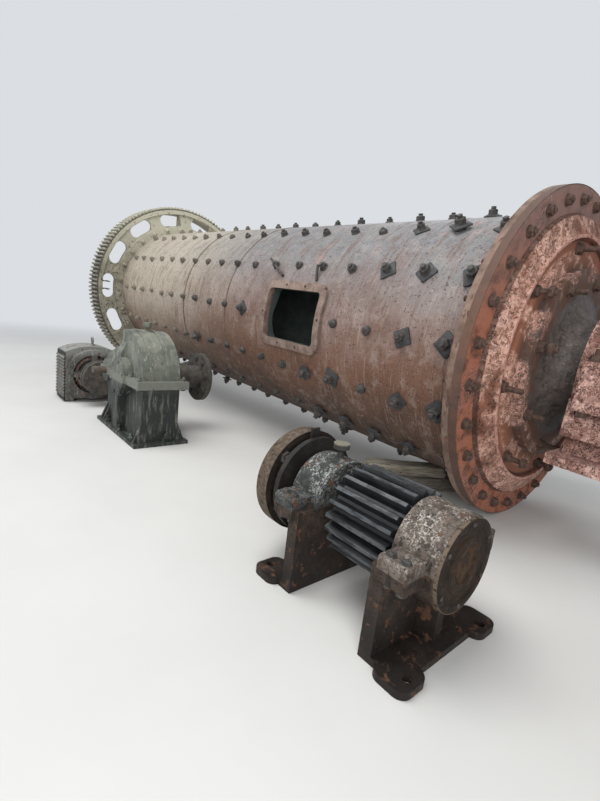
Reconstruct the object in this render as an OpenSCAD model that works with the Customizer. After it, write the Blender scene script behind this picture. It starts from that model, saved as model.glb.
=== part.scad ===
// Ball mill set laid out in a yard: the drum rests on its girth gear and its
// discharge flange, with the pinion stand, the reducer and the motor beside it.
// Millimetres, +Z up, +X along the drum from the girth gear to the discharge end.

/* [Drum shell] */
// Outer diameter of the drum shell
shell_d = 1830; // [1700:10:1960]
// Plate thickness of the shell
shell_wall = 20; // [14:1:26]
// Length of the shell course beside the girth gear
course_1_len = 2070; // [1900:10:2200]
// Length of the second shell course
course_2_len = 910; // [800:10:1000]
// Length of the course that carries the manhole
course_3_len = 1970; // [1850:10:2100]
// Length of the course at the discharge end
course_4_len = 625; // [550:5:700]
// Thickness of the liner plates between the lifter waves
liner_t = 40; // [30:1:50]
// Height of the lifter waves
wave_h = 26; // [15:1:35]
// Number of liner rows round the drum
liner_rows = 14; // [12:1:16]

/* [Manhole] */
// Clear length of the manhole along the drum
door_len = 630; // [500:10:700]
// Clear height of the manhole round the drum
door_h = 410; // [340:10:460]
// Corner radius of the manhole
door_corner_r = 40; // [25:1:60]
// Width of the frame round the manhole
door_rim = 62; // [50:1:75]
// Height of the frame above the shell
door_proud = 28; // [18:1:40]
// Angle of the manhole above the horizontal
door_angle = 2.5; // [0:0.5:6]
// Distance from the seam before the manhole to its middle
door_offset = 1020; // [950:10:1080]
// Radius of the frame's bolt holes
door_hole_r = 12; // [9:0.5:14]

/* [Flanges and heads] */
// How far the discharge flanges stand out from the shell
flange_out = 155; // [145:1:170]
// Thickness of the shell flanges
shell_flange_t = 38; // [32:1:50]
// Thickness of the head flanges
head_flange_t = 50; // [40:1:60]
// How far the flanges at the girth gear stand out from the shell
gear_flange_out = 101; // [95:1:105]
// How far inside the shell's face the head steps out from its flange
head_step_in = 3; // [-15:1:15]
// How far inside the shell's face the raised lip on the head ends
head_lip_in = 113; // [95:1:135]
// Height of the head above its flange
head_rise = 62; // [50:1:80]
// Thickness of the head plate
head_plate_t = 60; // [50:1:70]
// Height of the lip that runs round the head's face
lip_h = 14; // [8:1:20]
// Width of that lip
lip_w = 24; // [18:1:32]
// Depth of the dish between the lip and the trunnion flange
dish_h = 18; // [12:1:24]
// Width of the raised land round the trunnion flange
land_w = 74; // [60:1:84]

/* [Trunnions and main bearings] */
// Radius of the trunnion flange
trunnion_flange_r = 600; // [580:5:620]
// Thickness of the trunnion flange
trunnion_flange_t = 55; // [45:1:65]
// Radius of the flare where the neck meets its flange
neck_root_r = 458; // [440:1:480]
// Radius of the journal
journal_r = 300; // [280:1:320]
// Length of the flare between the flange and the journal
flare_len = 120; // [100:5:140]
// Radius of the hole through the trunnion
trunnion_bore_r = 205; // [180:1:220]
// Width of the edge of the neck's root that sits inside the head
throat_edge = 40; // [34:1:46]
// Depth of the funnel at the mouth of the trunnion
funnel_h = 130; // [110:5:150]
// Running length of the journal, with both its gaps
journal_len = 480; // [440:5:520]
// Radius of the collar at the end of the trunnion
collar_r = 336; // [326:1:350]
// Thickness of the end collar
collar_t = 45; // [35:1:60]
// Length of the main bearing housing
bearing_len = 340; // [300:5:380]
// Outer radius of the main bearing housing
bearing_r = 420; // [400:1:440]
// Wall of the bearing bush
bush_wall = 34; // [26:1:40]
// Radial running clearance of the bush on the journal
bush_clearance = 0.05; // [0.02:0.01:0.08]
// Height of the journal above the sole of the bearing
bearing_h = 530; // [500:5:560]
// Half width of the bearing sole
sole_half_w = 470; // [440:5:500]
// Thickness of the bearing sole
sole_t = 60; // [45:1:75]
// How far the sole reaches past each end of the housing
sole_over = 25; // [15:1:35]
// Thickness of the ribs under the bearing
bearing_rib_t = 50; // [40:1:60]
// How far the bolting ledges stand out from the housing
ledge_out = 70; // [55:1:80]
// How far the bolting ledges stand in from the ends of the housing
ledge_in = 40; // [30:1:55]
// Height of the bolting ledges on the bearing base
ledge_base_h = 200; // [170:5:220]
// Height of the bolting ledges on the bearing cap
ledge_cap_h = 70; // [55:1:85]
// Radius of the filling boss on the bearing cap
fill_r = 75; // [60:1:85]
// Height of the filling boss above the cap
fill_h = 30; // [20:1:45]

/* [Girth gear] */
// Module of the girth gear and its pinion
gear_module = 18; // [18:0.1:18.4]
// Teeth on the girth gear
gear_teeth = 142; // [138:2:146]
// Face width of the girth gear
gear_face = 330; // [280:5:360]
// How far the rim reaches past the web towards the drum
rim_reach = 25; // [15:1:35]
// Thickness of the rim under the teeth
rim_t = 58; // [45:1:70]
// Thickness of the gear web
web_t = 45; // [35:1:55]
// Share of the web's width that its slots take
slot_share = 0.88; // [0.7:0.02:0.9]
// Length of the slots in the web
slot_len = 335; // [300:5:360]
// Slots in each half of the gear
half_slots = 7; // [6:1:8]
// Thickness of the flanges that join the two halves
joint_t = 46; // [36:1:56]

/* [Pinion stand] */
// Distance from the drum axis to the pinion axis
stand_y = -1683; // [-1760:1:-1660]
// Distance from the gear face to the outer end of the stand
stand_x = 6091; // [6000:1:6150]
// Height of the pinion axis above the ground
pinion_h = 373; // [355:1:400]
// Teeth on the pinion
pinion_teeth = 21; // [20:1:22]
// Face width of the pinion
pinion_face = 315; // [280:5:350]
// Gap between the pinion and the near pedestal
pinion_gap = 11; // [8:1:20]
// Clear distance between the two pedestals
pedestal_gap = 400; // [385:5:430]
// Length of each bearing housing of the stand
housing_len = 180; // [165:5:195]
// Outer radius of each bearing housing of the stand
housing_r = 188; // [180:1:200]
// Radius of the pinion shaft in its bearings
shaft_r = 70; // [60:1:75]
// Radial running clearance of the pinion shaft
shaft_clearance = 0.05; // [0.02:0.01:0.08]
// Radius of the seat inside the pinion
pinion_seat_r = 82; // [78:1:95]
// Length of the pedestal's foot plate
foot_len = 189; // [180:1:205]
// Thickness of the pedestal's foot plate
foot_t = 30; // [24:1:40]
// Distance of the foundation holes from the pinion axis
foot_hole_y = 249; // [240:1:260]
// Distance of the foundation holes from the pedestal's inner face
foot_hole_out = 189; // [180:1:195]
// Radius of the foundation holes
foot_hole_r = 19; // [15:1:22]
// Width of the ears round the foundation holes
ear_w = 150; // [130:2:160]
// Corner radius of the ears
ear_r = 45; // [35:1:55]
// Distance from a foundation hole to the edge of its ear
ear_edge = 40; // [34:1:50]
// Thickness of the pedestal's upright
upright_t = 58; // [40:1:66]
// Half width of the pedestal's upright
upright_half_w = 287; // [275:1:300]
// Thickness of the rib under each housing
rib_t = 50; // [40:1:70]
// How far the bolting lugs reach from the axis
lug_reach = 302; // [290:1:312]
// Length of the bolting lugs
lug_len = 120; // [100:2:130]
// Distance of the bolting lugs from the housing's inner face
lug_inset = 30; // [20:1:40]
// Height of each bolting lug
lug_h = 50; // [42:1:60]
// Thickness of the end cover
cover_t = 14; // [10:1:20]
// Distance from a housing's inner face to the hole or the cup on its cap
cup_x = 76; // [70:1:100]
// Radius of the grease cup
cup_r = 38; // [30:1:42]
// Height of the grease cup
cup_h = 66; // [55:1:75]
// Radius of the larger coupling disc
disc_r = 258; // [250:1:270]
// Distance from the far housing to the outer side of the larger disc
disc_out = 235; // [225:1:250]
// Thickness of the larger disc where it meets its rim
disc_web = 90; // [70:1:100]
// Length of the larger disc's rim beyond its web
disc_ring = 50; // [40:1:60]
// Radial depth of the larger disc's rim
disc_lip = 30; // [22:1:40]
// Radius of the smaller coupling disc
plate_r = 240; // [225:1:248]
// Thickness of the smaller coupling disc
plate_t = 28; // [22:1:32]
// Distance from the far housing to the smaller disc
plate_out = 60; // [50:1:70]
// Width of the flat bar on the smaller disc
bar_w = 51; // [40:1:60]
// Length of the flat bar
bar_h = 115; // [90:1:125]
// How far the flat bar stands above the rim of the smaller disc
bar_rise = 43; // [30:1:58]
// Thickness of the flat bar
bar_t = 12; // [8:1:16]

/* [Reducer] */
// Distance from the gear face to the reducer's near end
reducer_x = 3465; // [3400:5:3520]
// Distance from the drum axis to the reducer's centre plane
reducer_y = -1683; // [-1720:1:-1640]
// Length of the reducer's base
reducer_len = 982; // [960:2:1020]
// Width of the reducer's base
reducer_w = 460; // [450:2:500]
// Thickness of the reducer's base
base_t = 30; // [24:1:40]
// Width of the reducer's case
case_w = 310; // [290:2:330]
// How far the case stands in from the ends of the base
end_in = 62; // [50:1:75]
// How far the split flange stands in from the ends of the base
lip_in = 15; // [8:1:25]
// Thickness of each split flange
split_t = 32; // [26:1:40]
// Height of the split between the case and its cover
split_h = 500; // [480:1:520]
// Height of the top of the cover
cover_top_h = 903; // [890:1:920]
// Distance from the near end to the low-speed shaft
low_shaft_x = 465; // [455:1:475]
// Distance between the two shafts
shaft_spacing = 350; // [330:2:354]
// Half the width over the bearing bosses
boss_half = 215; // [205:1:222]
// Radius of the low-speed bearing bosses
low_boss_r = 168; // [155:1:175]
// Radius of the high-speed bearing bosses
high_boss_r = 100; // [85:1:110]
// Thickness of the bearing end covers
end_cover_t = 20; // [12:1:25]
// Thickness of the ribs that run over and under the bosses
saddle_t = 110; // [80:2:125]
// Thickness of the gussets on the base
gusset_t = 26; // [18:1:34]
// Height of the gussets
gusset_h = 180; // [150:2:200]
// Distance of the outer gusset from the far end of the base
gusset_in = 57; // [45:1:70]
// Offset of the drain boss from the centre plane
plug_y = 58; // [40:1:70]
// Radius of the drain boss
plug_r = 48; // [40:1:56]
// Thickness of the drain boss
plug_t = 24; // [16:1:32]
// Width of the raised bands on the cover
band_t = 30; // [24:1:40]
// Height of the raised bands on the cover
band_rise = 9; // [5:1:14]
// Distance from the low-speed shaft to the breather
breather_x = 30; // [10:1:60]
// Radius of the breather
breather_r = 34; // [28:1:40]
// Height of the breather
breather_h = 72; // [60:1:85]
// Distance of the base holes from the ends of the base
sole_hole_x = 130; // [115:1:145]
// Distance of the base holes from the sides of the base
sole_hole_in = 32; // [27:1:34]
// Radius of the base holes
sole_hole_r = 13; // [9:0.5:15]
// Radius of the low-speed shaft
low_shaft_r = 60; // [50:1:65]
// Radius of the high-speed shaft
high_shaft_r = 32; // [26:1:38]
// How far the high-speed shaft stands out of its boss
high_shaft_out = 110; // [80:1:140]
// Radius of the output coupling
output_r = 225; // [210:1:240]
// Radius of the output coupling's hub
output_hub_r = 105; // [95:1:115]
// Thickness of the output coupling's disc
output_t = 45; // [36:1:56]
// Distance from the centre plane to the end of the output coupling
output_end = 555; // [530:1:580]
// Gap between each coupling and the housing behind it
output_gap = 40; // [30:1:60]

/* [Motor] */
// Distance from the gear face to the drive end of the motor's body
motor_x = 1750; // [1700:5:1780]
// Distance from the drum axis to the motor shaft
motor_y = -1760; // [-1800:5:-1740]
// Height of the motor shaft
motor_h = 303; // [295:1:315]
// Length of the motor's body
motor_len = 350; // [330:5:400]
// Half width of the motor's body
motor_half_w = 271; // [270:1:290]
// Height of the sides of the motor's body
motor_side_h = 535; // [530:1:555]
// Height of the arched top of the motor's body
motor_top_h = 600; // [585:1:620]
// Height of the feet
motor_foot_h = 32; // [24:1:33]
// Width of the rails under the body
motor_rail_w = 90; // [70:2:110]
// Outer radius of the drive end ring
bell_r = 266; // [260:1:268]
// Inner radius of the drive end ring
bell_in_r = 210; // [200:1:220]
// Thickness of the drive end frame
bell_t = 60; // [45:1:70]
// Radius of the drive end hub
bell_hub_r = 92; // [80:1:110]
// Width of the struts of the drive end frame
strut_w = 60; // [48:1:70]
// Depth of the recess behind the drive end
recess_depth = 90; // [70:1:120]
// Radius of the tail cover
tail_r = 235; // [220:1:250]
// Length of the tail cover
tail_len = 60; // [50:1:90]
// Thickness of the side covers
panel_t = 9; // [6:0.5:12]
// How far the side covers stand in from the body's edges
panel_in = 20; // [14:1:30]
// Radius of the motor shaft
motor_shaft_r = 32; // [26:1:38]
// Radius of the motor's coupling half
motor_coupling_r = 175; // [160:1:185]
// Distance from the body to the end of the motor's coupling
motor_coupling_end = 310; // [280:2:330]

/* [Timbers] */
// Length of the timber that lies on the ground
low_timber_len = 640; // [560:10:700]
// Width of the timber that lies on the ground
low_timber_w = 190; // [150:5:230]
// Thickness of the timber that lies on the ground
low_timber_t = 100; // [80:1:105]
// Skew of the timber that lies on the ground
low_timber_skew = 26; // [22:1:30]
// Distance from the gear face to the end of that timber
low_timber_x = 5250; // [5230:5:5270]
// Distance from the drum's lowest line to the end of that timber
low_timber_y = 20; // [0:5:40]
// Length of the timber on top of it
top_timber_len = 610; // [540:10:680]
// Width of the timber on top
top_timber_w = 130; // [110:5:150]
// Skew of the timber on top
top_timber_skew = 34; // [30:1:38]
// Distance from the gear face to the end of the timber on top
top_timber_x = 5148; // [5130:2:5160]
// Distance from the drum's lowest line to the end of the timber on top
top_timber_y = -153; // [-180:1:-130]
// Gap between the top timber and the shell
chock_gap = 0.5; // [0.3:0.1:3]

/* [Place of the set] */
// Distance from the origin to the gear face of the drum
mill_x = -2765; // [-2800:5:-2730]
// Distance from the origin to the drum axis
mill_y = 377; // [350:1:400]

/* [Hidden] */
fine = 180;
mid = 96;
small = 48;
eps = 1;
seat_gap = 0.3;
joint_gap = 6;
cup_pad_t = 3;
cup_pad_r = 30;
cap_hole_r = 7;
cap_hole_depth = 24;
ease = 5;
slope = 8;
lug_ease = 10;
steel = "#8a5a44";
rust = "#9a6047";
pink = "#b98478";
iron = "#55504b";
green = "#76806f";
shell_r = shell_d / 2;
flange_r = shell_r + flange_out;
gear_flange_r = shell_r + gear_flange_out;
head_step_r = shell_r - head_step_in;
head_lip_r = shell_r - head_lip_in;
shell_in_r = shell_r - shell_wall;
seam_2 = course_1_len;
seam_3 = seam_2 + course_2_len;
seam_4 = seam_3 + course_3_len;
shell_len = seam_4 + course_4_len;
// The shell ends in the joint face between the shell flange and the head flange.
head_x = shell_len;
drum_end = head_x + head_flange_t;
gear_pitch_r = gear_module * gear_teeth / 2;
gear_tip_r = gear_pitch_r + gear_module;
gear_root_r = gear_pitch_r - 1.25 * gear_module;
rim_in_r = gear_root_r - rim_t;
slot_w = (rim_in_r - gear_flange_r) * slot_share;
// The drum rests on the near edges of the gear teeth and of the discharge flange.
tilt = atan((gear_tip_r - flange_r) / (drum_end - rim_reach));
axis_h = rim_reach * sin(tilt) + gear_tip_r * cos(tilt);
bearing_start = head_rise + trunnion_flange_t + flare_len + (journal_len - bearing_len) / 2;
pinion_pitch_r = gear_module * pinion_teeth / 2;
pinion_tip_r = pinion_pitch_r + gear_module;
pinion_root_r = pinion_pitch_r - 1.25 * gear_module;
far_housing_x = stand_x - housing_len * 2 - pedestal_gap;
pinion_start = stand_x - housing_len - pinion_gap - pinion_face;
low_x = reducer_len - low_shaft_x;
high_x = low_x - shaft_spacing;
rib_ys = [-case_w * 0.28, case_w * 0.16];

module place(x, y) {
    translate([mill_x + x, mill_y + y, 0])
        children();
}

module on_drum() {
    translate([mill_x, mill_y, axis_h])
        rotate([0, tilt, 0])
            children();
}

// Turns a piece drawn up +Z so that it lies along +X from the given distance.
module along(x) {
    translate([x, 0, 0])
        rotate([0, 90, 0])
            children();
}

module tube(len, r_out, r_in, faces = fine) {
    difference() {
        cylinder(h = len, r = r_out, $fn = faces);
        translate([0, 0, -eps])
            cylinder(h = len + 2 * eps, r = r_in, $fn = faces);
    }
}

module rounded_rect(w, h, r) {
    square([w - 2 * r, h], center = true);
    square([w, h - 2 * r], center = true);
    for (x = [-1, 1], y = [-1, 1])
        translate([x * (w / 2 - r), y * (h / 2 - r)])
            circle(r = r, $fn = small);
}

// Faces the manhole: +Z points out of the drum, +X along it.
module at_door() {
    translate([seam_3 + door_offset, 0, 0])
        rotate([90 - door_angle, 0, 0])
            children();
}

module door_cut(extra) {
    at_door()
        translate([0, 0, shell_r * 0.6])
            linear_extrude(height = shell_r * 0.6)
                rounded_rect(door_len + 2 * extra, door_h + 2 * extra, door_corner_r + extra);
}

module shell_course(x, len) {
    along(x)
        tube(len, shell_r, shell_in_r);
}

module shell_course_1() {
    color(rust)
        on_drum()
            shell_course(0, course_1_len);
}

module shell_course_2() {
    color(rust)
        on_drum()
            shell_course(seam_2, course_2_len);
}

// The third course is drawn in three stretches: before, beside and after the manhole.
module shell_course_3_before_manhole() {
    color(rust)
        on_drum()
            shell_course(seam_3, door_offset - door_len / 2);
}

module shell_course_3_beside_manhole() {
    color(rust)
        on_drum()
            difference() {
                shell_course(seam_3 + door_offset - door_len / 2, door_len);
                at_door()
                    translate([-door_len, -door_h / 2, shell_r * 0.6])
                        cube([2 * door_len, door_h, shell_r]);
            }
}

module shell_course_3_after_manhole() {
    color(rust)
        on_drum()
            shell_course(seam_3 + door_offset + door_len / 2, course_3_len - door_offset - door_len / 2);
}

module shell_course_4() {
    color(rust)
        on_drum()
            shell_course(seam_4, course_4_len);
}

// Wave liner: the inside radius falls and rises once for each row of plates.
module shell_liner() {
    out_r = shell_in_r - seat_gap;
    steps = liner_rows * 8;
    wave = [for (i = [0:steps - 1])
        let (a = i * 360 / steps, r = out_r - liner_t - wave_h / 2 * (1 + cos(liner_rows * a)))
        [r * cos(a), r * sin(a)]];
    color(iron)
        on_drum()
            difference() {
                along(shell_flange_t)
                    linear_extrude(height = shell_len - 2 * shell_flange_t)
                        difference() {
                            circle(r = out_r, $fn = fine);
                            polygon(wave);
                        }
                door_cut(0);
            }
}

module manhole_frame() {
    hole_x = door_len / 2 + door_rim / 2;
    hole_y = door_h / 2 + door_rim / 2;
    spots = concat(
        [for (x = [-1, -1 / 3, 1 / 3, 1], y = [-1, 1]) [x * hole_x, y * hole_y]],
        [for (x = [-1, 1]) [x * hole_x, 0]]
    );
    color(rust)
        on_drum()
            difference() {
                intersection() {
                    along(seam_3)
                        tube(course_3_len, shell_r + door_proud, shell_r + seat_gap);
                    door_cut(door_rim);
                }
                door_cut(0);
                at_door()
                    for (p = spots)
                        translate([p[0], p[1], shell_r * 0.8])
                            cylinder(h = shell_r * 0.4, r = door_hole_r, $fn = small);
            }
}

module shell_flange(x, r) {
    color(rust)
        on_drum()
            along(x)
                tube(shell_flange_t, r, shell_r + seat_gap);
}

module gear_end_flange() {
    shell_flange(0, gear_flange_r);
}

module discharge_flange() {
    shell_flange(shell_len - shell_flange_t, flange_r);
}

// The head casting in section: radius, then distance outwards from the joint face.
module head(r) {
    spigot_r = shell_in_r - liner_t / 20;
    face = head_flange_t + head_rise;
    bore_r = neck_root_r - throat_edge;
    land_r = trunnion_flange_r + land_w;
    rotate_extrude($fn = fine)
        polygon([
            [spigot_r, -shell_flange_t / 3], [spigot_r, 0], [r, 0], [r, head_flange_t],
            [head_step_r, head_flange_t], [head_step_r - slope, head_flange_t + head_rise * 0.4],
            [head_lip_r, face], [head_lip_r - slope, face + lip_h],
            [head_lip_r - lip_w, face + lip_h], [head_lip_r - lip_w - slope, face - dish_h],
            [land_r + slope, face - dish_h], [land_r, face], [bore_r, face],
            [bore_r, face - head_plate_t], [head_lip_r - lip_w - 2 * slope, face - head_plate_t]
        ]);
}

// Hollow trunnion in section, with its flared neck drawn as an arc.
module trunnion() {
    base = head_flange_t + head_rise;
    neck = base + trunnion_flange_t;
    drop = neck_root_r - journal_r;
    spigot_r = neck_root_r - throat_edge - seat_gap;
    flare = [for (i = [0:8])
        let (a = i * 90 / 8)
        [journal_r + drop * (1 - sin(a)), neck + flare_len * (1 - cos(a))]];
    end = neck + flare_len + journal_len;
    rotate_extrude($fn = fine)
        polygon(concat(
            [[trunnion_bore_r, end + collar_t], [trunnion_bore_r, base - throat_edge + funnel_h],
             [trunnion_bore_r + funnel_h, base - throat_edge], [spigot_r, base - throat_edge],
             [spigot_r, base], [trunnion_flange_r, base], [trunnion_flange_r, neck]],
            flare,
            [[journal_r, end], [collar_r, end], [collar_r, end + collar_t]]
        ));
}

// Turns the discharge end's pieces round to serve the girth gear end.
module at_feed_end() {
    translate([-web_t, 0, 0])
        rotate([0, 0, 180])
            children();
}

module feed_head() {
    color(pink)
        on_drum()
            at_feed_end()
                along(0)
                    head(gear_flange_r);
}

module discharge_head() {
    color(pink)
        on_drum()
            along(head_x)
                head(flange_r);
}

module feed_trunnion() {
    color(iron)
        on_drum()
            at_feed_end()
                along(0)
                    trunnion();
}

module discharge_trunnion() {
    color(iron)
        on_drum()
            along(head_x)
                trunnion();
}

// One tooth: its outline points from root to root, with a rounded flank.
function tooth(middle, pitch, root_r, pitch_r, tip_r) = [
    for (p = [[-0.36, root_r], [-0.25, pitch_r], [-0.13, tip_r],
              [0.13, tip_r], [0.25, pitch_r], [0.36, root_r]])
        [p[1] * cos(middle + p[0] * pitch), p[1] * sin(middle + p[0] * pitch)]
];

function tooth_ring(teeth, first, last, root_r, pitch_r, tip_r) = [
    for (i = [first:last])
        each tooth((i + 0.5) * 360 / teeth, 360 / teeth, root_r, pitch_r, tip_r)
];

module gear_slot(square_end) {
    translate([(rim_in_r + gear_flange_r) / 2, 0]) {
        square([slot_w, slot_len - slot_w], center = true);
        translate([0, (slot_len - slot_w) / 2])
            circle(d = slot_w, $fn = mid);
        translate([0, -(slot_len - slot_w) / 2])
            if (square_end)
                square([slot_w, slot_w * 0.9], center = true);
            else
                circle(d = slot_w, $fn = mid);
    }
}

// One half of the split gear, drawn flat over the angles from 0 to 180 degrees.
module gear_half() {
    half_teeth = gear_teeth / 2;
    outline = concat(
        [[gear_root_r, 0]],
        tooth_ring(gear_teeth, 0, half_teeth - 1, gear_root_r, gear_pitch_r, gear_tip_r),
        [[-gear_root_r, 0], [0, 0]]
    );
    web_in_r = shell_in_r - liner_t / 20 + seat_gap;
    slot_step = 180 / half_slots;
    linear_extrude(height = gear_face)
        difference() {
            polygon(outline);
            circle(r = rim_in_r, $fn = fine);
        }
    translate([0, 0, gear_face - rim_reach - web_t])
        linear_extrude(height = web_t)
            difference() {
                intersection() {
                    circle(r = rim_in_r + eps, $fn = fine);
                    translate([-2 * rim_in_r, 0])
                        square([4 * rim_in_r, 2 * rim_in_r]);
                }
                circle(r = web_in_r, $fn = fine);
                for (i = [0:half_slots - 1])
                    rotate((i + 0.5) * slot_step)
                        gear_slot(i == 0);
            }
    joint_in_r = gear_flange_r + joint_gap;
    for (side = [0, 1])
        mirror([side, 0, 0])
            translate([joint_in_r, 0, joint_t])
                cube([rim_in_r - joint_in_r + eps, joint_t, gear_face - rim_reach - web_t - joint_t + eps]);
}

module girth_gear(turn) {
    color("#6f6a55")
        on_drum()
            along(rim_reach - gear_face)
                rotate([0, 0, turn])
                    gear_half();
}

module girth_gear_camera_half() {
    girth_gear(180);
}

module girth_gear_far_half() {
    girth_gear(0);
}

// Main bearing pieces, drawn round the journal: X runs along it from the inner face.
module bearing_body_profile() {
    circle(r = bearing_r, $fn = fine);
    translate([-bearing_r, -bearing_h * 0.68])
        square([2 * bearing_r, bearing_h * 0.4]);
}

module bearing_base() {
    ledge_w = bearing_r + ledge_out;
    foot_top = sole_t - bearing_h - eps;
    difference() {
        union() {
            rotate([90, 0, 90])
                linear_extrude(height = bearing_len)
                    intersection() {
                        bearing_body_profile();
                        translate([-2 * bearing_r, -2 * bearing_r])
                            square([4 * bearing_r, 2 * bearing_r]);
                    }
            translate([-sole_over, -sole_half_w, -bearing_h])
                cube([bearing_len + 2 * sole_over, 2 * sole_half_w, sole_t]);
            for (y = [-0.62, 0, 0.62])
                translate([ledge_in, y * sole_half_w - bearing_rib_t / 2, foot_top])
                    cube([bearing_len - 2 * ledge_in, bearing_rib_t, bearing_h / 2]);
            translate([ledge_in / 2, -bearing_r * 0.85, foot_top])
                cube([bearing_rib_t, bearing_r * 1.7, bearing_h / 2]);
            translate([ledge_in, -ledge_w, -ledge_base_h])
                cube([bearing_len - 2 * ledge_in, 2 * ledge_w, ledge_base_h]);
        }
        along(-eps)
            cylinder(h = bearing_len + 2 * eps, r = journal_r + bush_wall + seat_gap, $fn = fine);
    }
}

module bearing_cap() {
    ledge_w = bearing_r + ledge_out;
    difference() {
        union() {
            along(0)
                cylinder(h = bearing_len, r = bearing_r, $fn = fine);
            translate([ledge_in, -ledge_w, 0])
                cube([bearing_len - 2 * ledge_in, 2 * ledge_w, ledge_cap_h]);
            translate([bearing_len / 2, 0, 0])
                cylinder(h = bearing_r + fill_h, r = fill_r, $fn = small);
        }
        along(-eps)
            cylinder(h = bearing_len + 2 * eps, r = journal_r + bush_wall + seat_gap, $fn = fine);
        translate([-2 * bearing_len, -2 * bearing_r, -3 * bearing_r])
            cube([5 * bearing_len, 4 * bearing_r, 3 * bearing_r]);
    }
}

module bearing_bush() {
    along(ease)
        tube(bearing_len - 2 * ease, journal_r + bush_wall, journal_r + bush_clearance);
}

module at_discharge_bearing() {
    on_drum()
        translate([drum_end + bearing_start, 0, 0])
            children();
}

module at_feed_bearing() {
    on_drum()
        at_feed_end()
            translate([head_flange_t + bearing_start, 0, 0])
                children();
}

module feed_bearing_base() {
    color(pink)
        at_feed_bearing()
            bearing_base();
}

module feed_bearing_cap() {
    color(pink)
        at_feed_bearing()
            bearing_cap();
}

module feed_bearing_bush() {
    color("#a08a55")
        at_feed_bearing()
            bearing_bush();
}

module discharge_bearing_base() {
    color(pink)
        at_discharge_bearing()
            bearing_base();
}

module discharge_bearing_cap() {
    color(pink)
        at_discharge_bearing()
            bearing_cap();
}

module discharge_bearing_bush() {
    color("#a08a55")
        at_discharge_bearing()
            bearing_bush();
}

// A timber laid askew on the ground plan, with its end corner at the given place.
module chock_timber(x, y, skew, size, z) {
    color("#a08c6c")
        place(x, y)
            rotate([0, 0, -skew])
                translate([-size[0], -size[1], z])
                    cube(size);
}

// The top timber ends just below the shell, which comes nearest to its inner corner.
module chock_timbers() {
    near_x = top_timber_x - top_timber_w * cos(top_timber_skew);
    near_y = top_timber_y + top_timber_w * sin(top_timber_skew);
    shell_z = axis_h - near_x * tan(tilt) - sqrt(pow(shell_r, 2) - pow(near_y, 2)) / cos(tilt);
    bottom = low_timber_t + seat_gap;
    chock_timber(low_timber_x, low_timber_y, low_timber_skew,
                 [low_timber_w, low_timber_len, low_timber_t], 0);
    chock_timber(top_timber_x, top_timber_y, top_timber_skew,
                 [top_timber_w, top_timber_len, shell_z - chock_gap - bottom], bottom);
}

module stand() {
    place(0, stand_y)
        children();
}

// Foot plate with two ears that carry the foundation holes.
module pedestal_foot() {
    ear_x = foot_hole_out + ear_edge - ear_w / 2;
    linear_extrude(height = foot_t)
        difference() {
            union() {
                translate([0, -upright_half_w])
                    square([foot_len, 2 * upright_half_w]);
                for (s = [-1, 1])
                    translate([ear_x, s * foot_hole_y])
                        rounded_rect(ear_w, ear_w, ear_r);
            }
            for (s = [-1, 1])
                translate([foot_hole_out, s * foot_hole_y])
                    circle(r = foot_hole_r, $fn = small);
            translate([foot_len - ear_edge, foot_hole_y * 0.55])
                circle(r = foot_hole_r / 2, $fn = small);
        }
}

// Housing shell of the stand, its outer edge eased.
module housing() {
    along(0)
        cylinder(h = housing_len - ease, r = housing_r, $fn = fine);
    along(housing_len - ease)
        cylinder(h = ease, r1 = housing_r, r2 = housing_r - ease, $fn = fine);
}

module housing_bore() {
    along(-eps)
        cylinder(h = housing_len + 2 * eps, r = shaft_r + shaft_clearance, $fn = fine);
}

// Pair of bolting lugs, standing off the split plane to the given side.
module lugs(side) {
    inner = housing_r * 0.8;
    for (s = [-1, 1])
        scale([1, s, side])
            translate([lug_inset, 0, 0])
                rotate([90, 0, 90])
                    linear_extrude(height = lug_len)
                        polygon([[inner, 0], [lug_reach, 0], [lug_reach, lug_h - lug_ease],
                                 [lug_reach - lug_ease, lug_h], [inner, lug_h]]);
}

// Pedestal drawn about the axis: X from the pinion side outwards, Z from the ground.
module pedestal() {
    difference() {
        union() {
            pedestal_foot();
            translate([0, 0, pinion_h])
                housing();
            translate([0, -upright_half_w, foot_t - eps])
                cube([upright_t, 2 * upright_half_w, pinion_h - foot_t + eps]);
            translate([0, -rib_t / 2, foot_t - eps])
                cube([housing_len - ear_edge, rib_t, pinion_h - housing_r / 2]);
            translate([0, 0, pinion_h])
                lugs(-1);
        }
        translate([0, 0, pinion_h])
            housing_bore();
        translate([-2 * housing_len, -2 * housing_r, pinion_h])
            cube([5 * housing_len, 4 * housing_r, 2 * housing_r]);
    }
}

module pedestal_cap(with_cup) {
    difference() {
        union() {
            housing();
            if (with_cup)
                translate([cup_x, 0, 0])
                    cylinder(h = housing_r + cup_pad_t, r = cup_pad_r, $fn = small);
            lugs(1);
        }
        housing_bore();
        translate([-2 * housing_len, -2 * housing_r, -4 * housing_r])
            cube([5 * housing_len, 4 * housing_r, 4 * housing_r]);
        if (!with_cup)
            translate([cup_x, 0, housing_r - cap_hole_depth])
                cylinder(h = 2 * cap_hole_depth, r = cap_hole_r, $fn = small);
    }
}

module at_far_pedestal() {
    stand()
        translate([far_housing_x + housing_len, 0, 0])
            mirror([1, 0, 0])
                children();
}

module at_near_pedestal() {
    stand()
        translate([stand_x - housing_len, 0, 0])
            children();
}

module pinion_pedestal_near() {
    color("#6b574a")
        at_near_pedestal()
            pedestal();
}

module pinion_pedestal_far() {
    color("#55524e")
        at_far_pedestal()
            pedestal();
}

module pinion_cap_near() {
    color("#7a6656")
        at_near_pedestal()
            translate([0, 0, pinion_h])
                pedestal_cap(false);
}

module pinion_cap_far() {
    color("#6d716a")
        at_far_pedestal()
            translate([0, 0, pinion_h])
                pedestal_cap(true);
}

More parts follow.
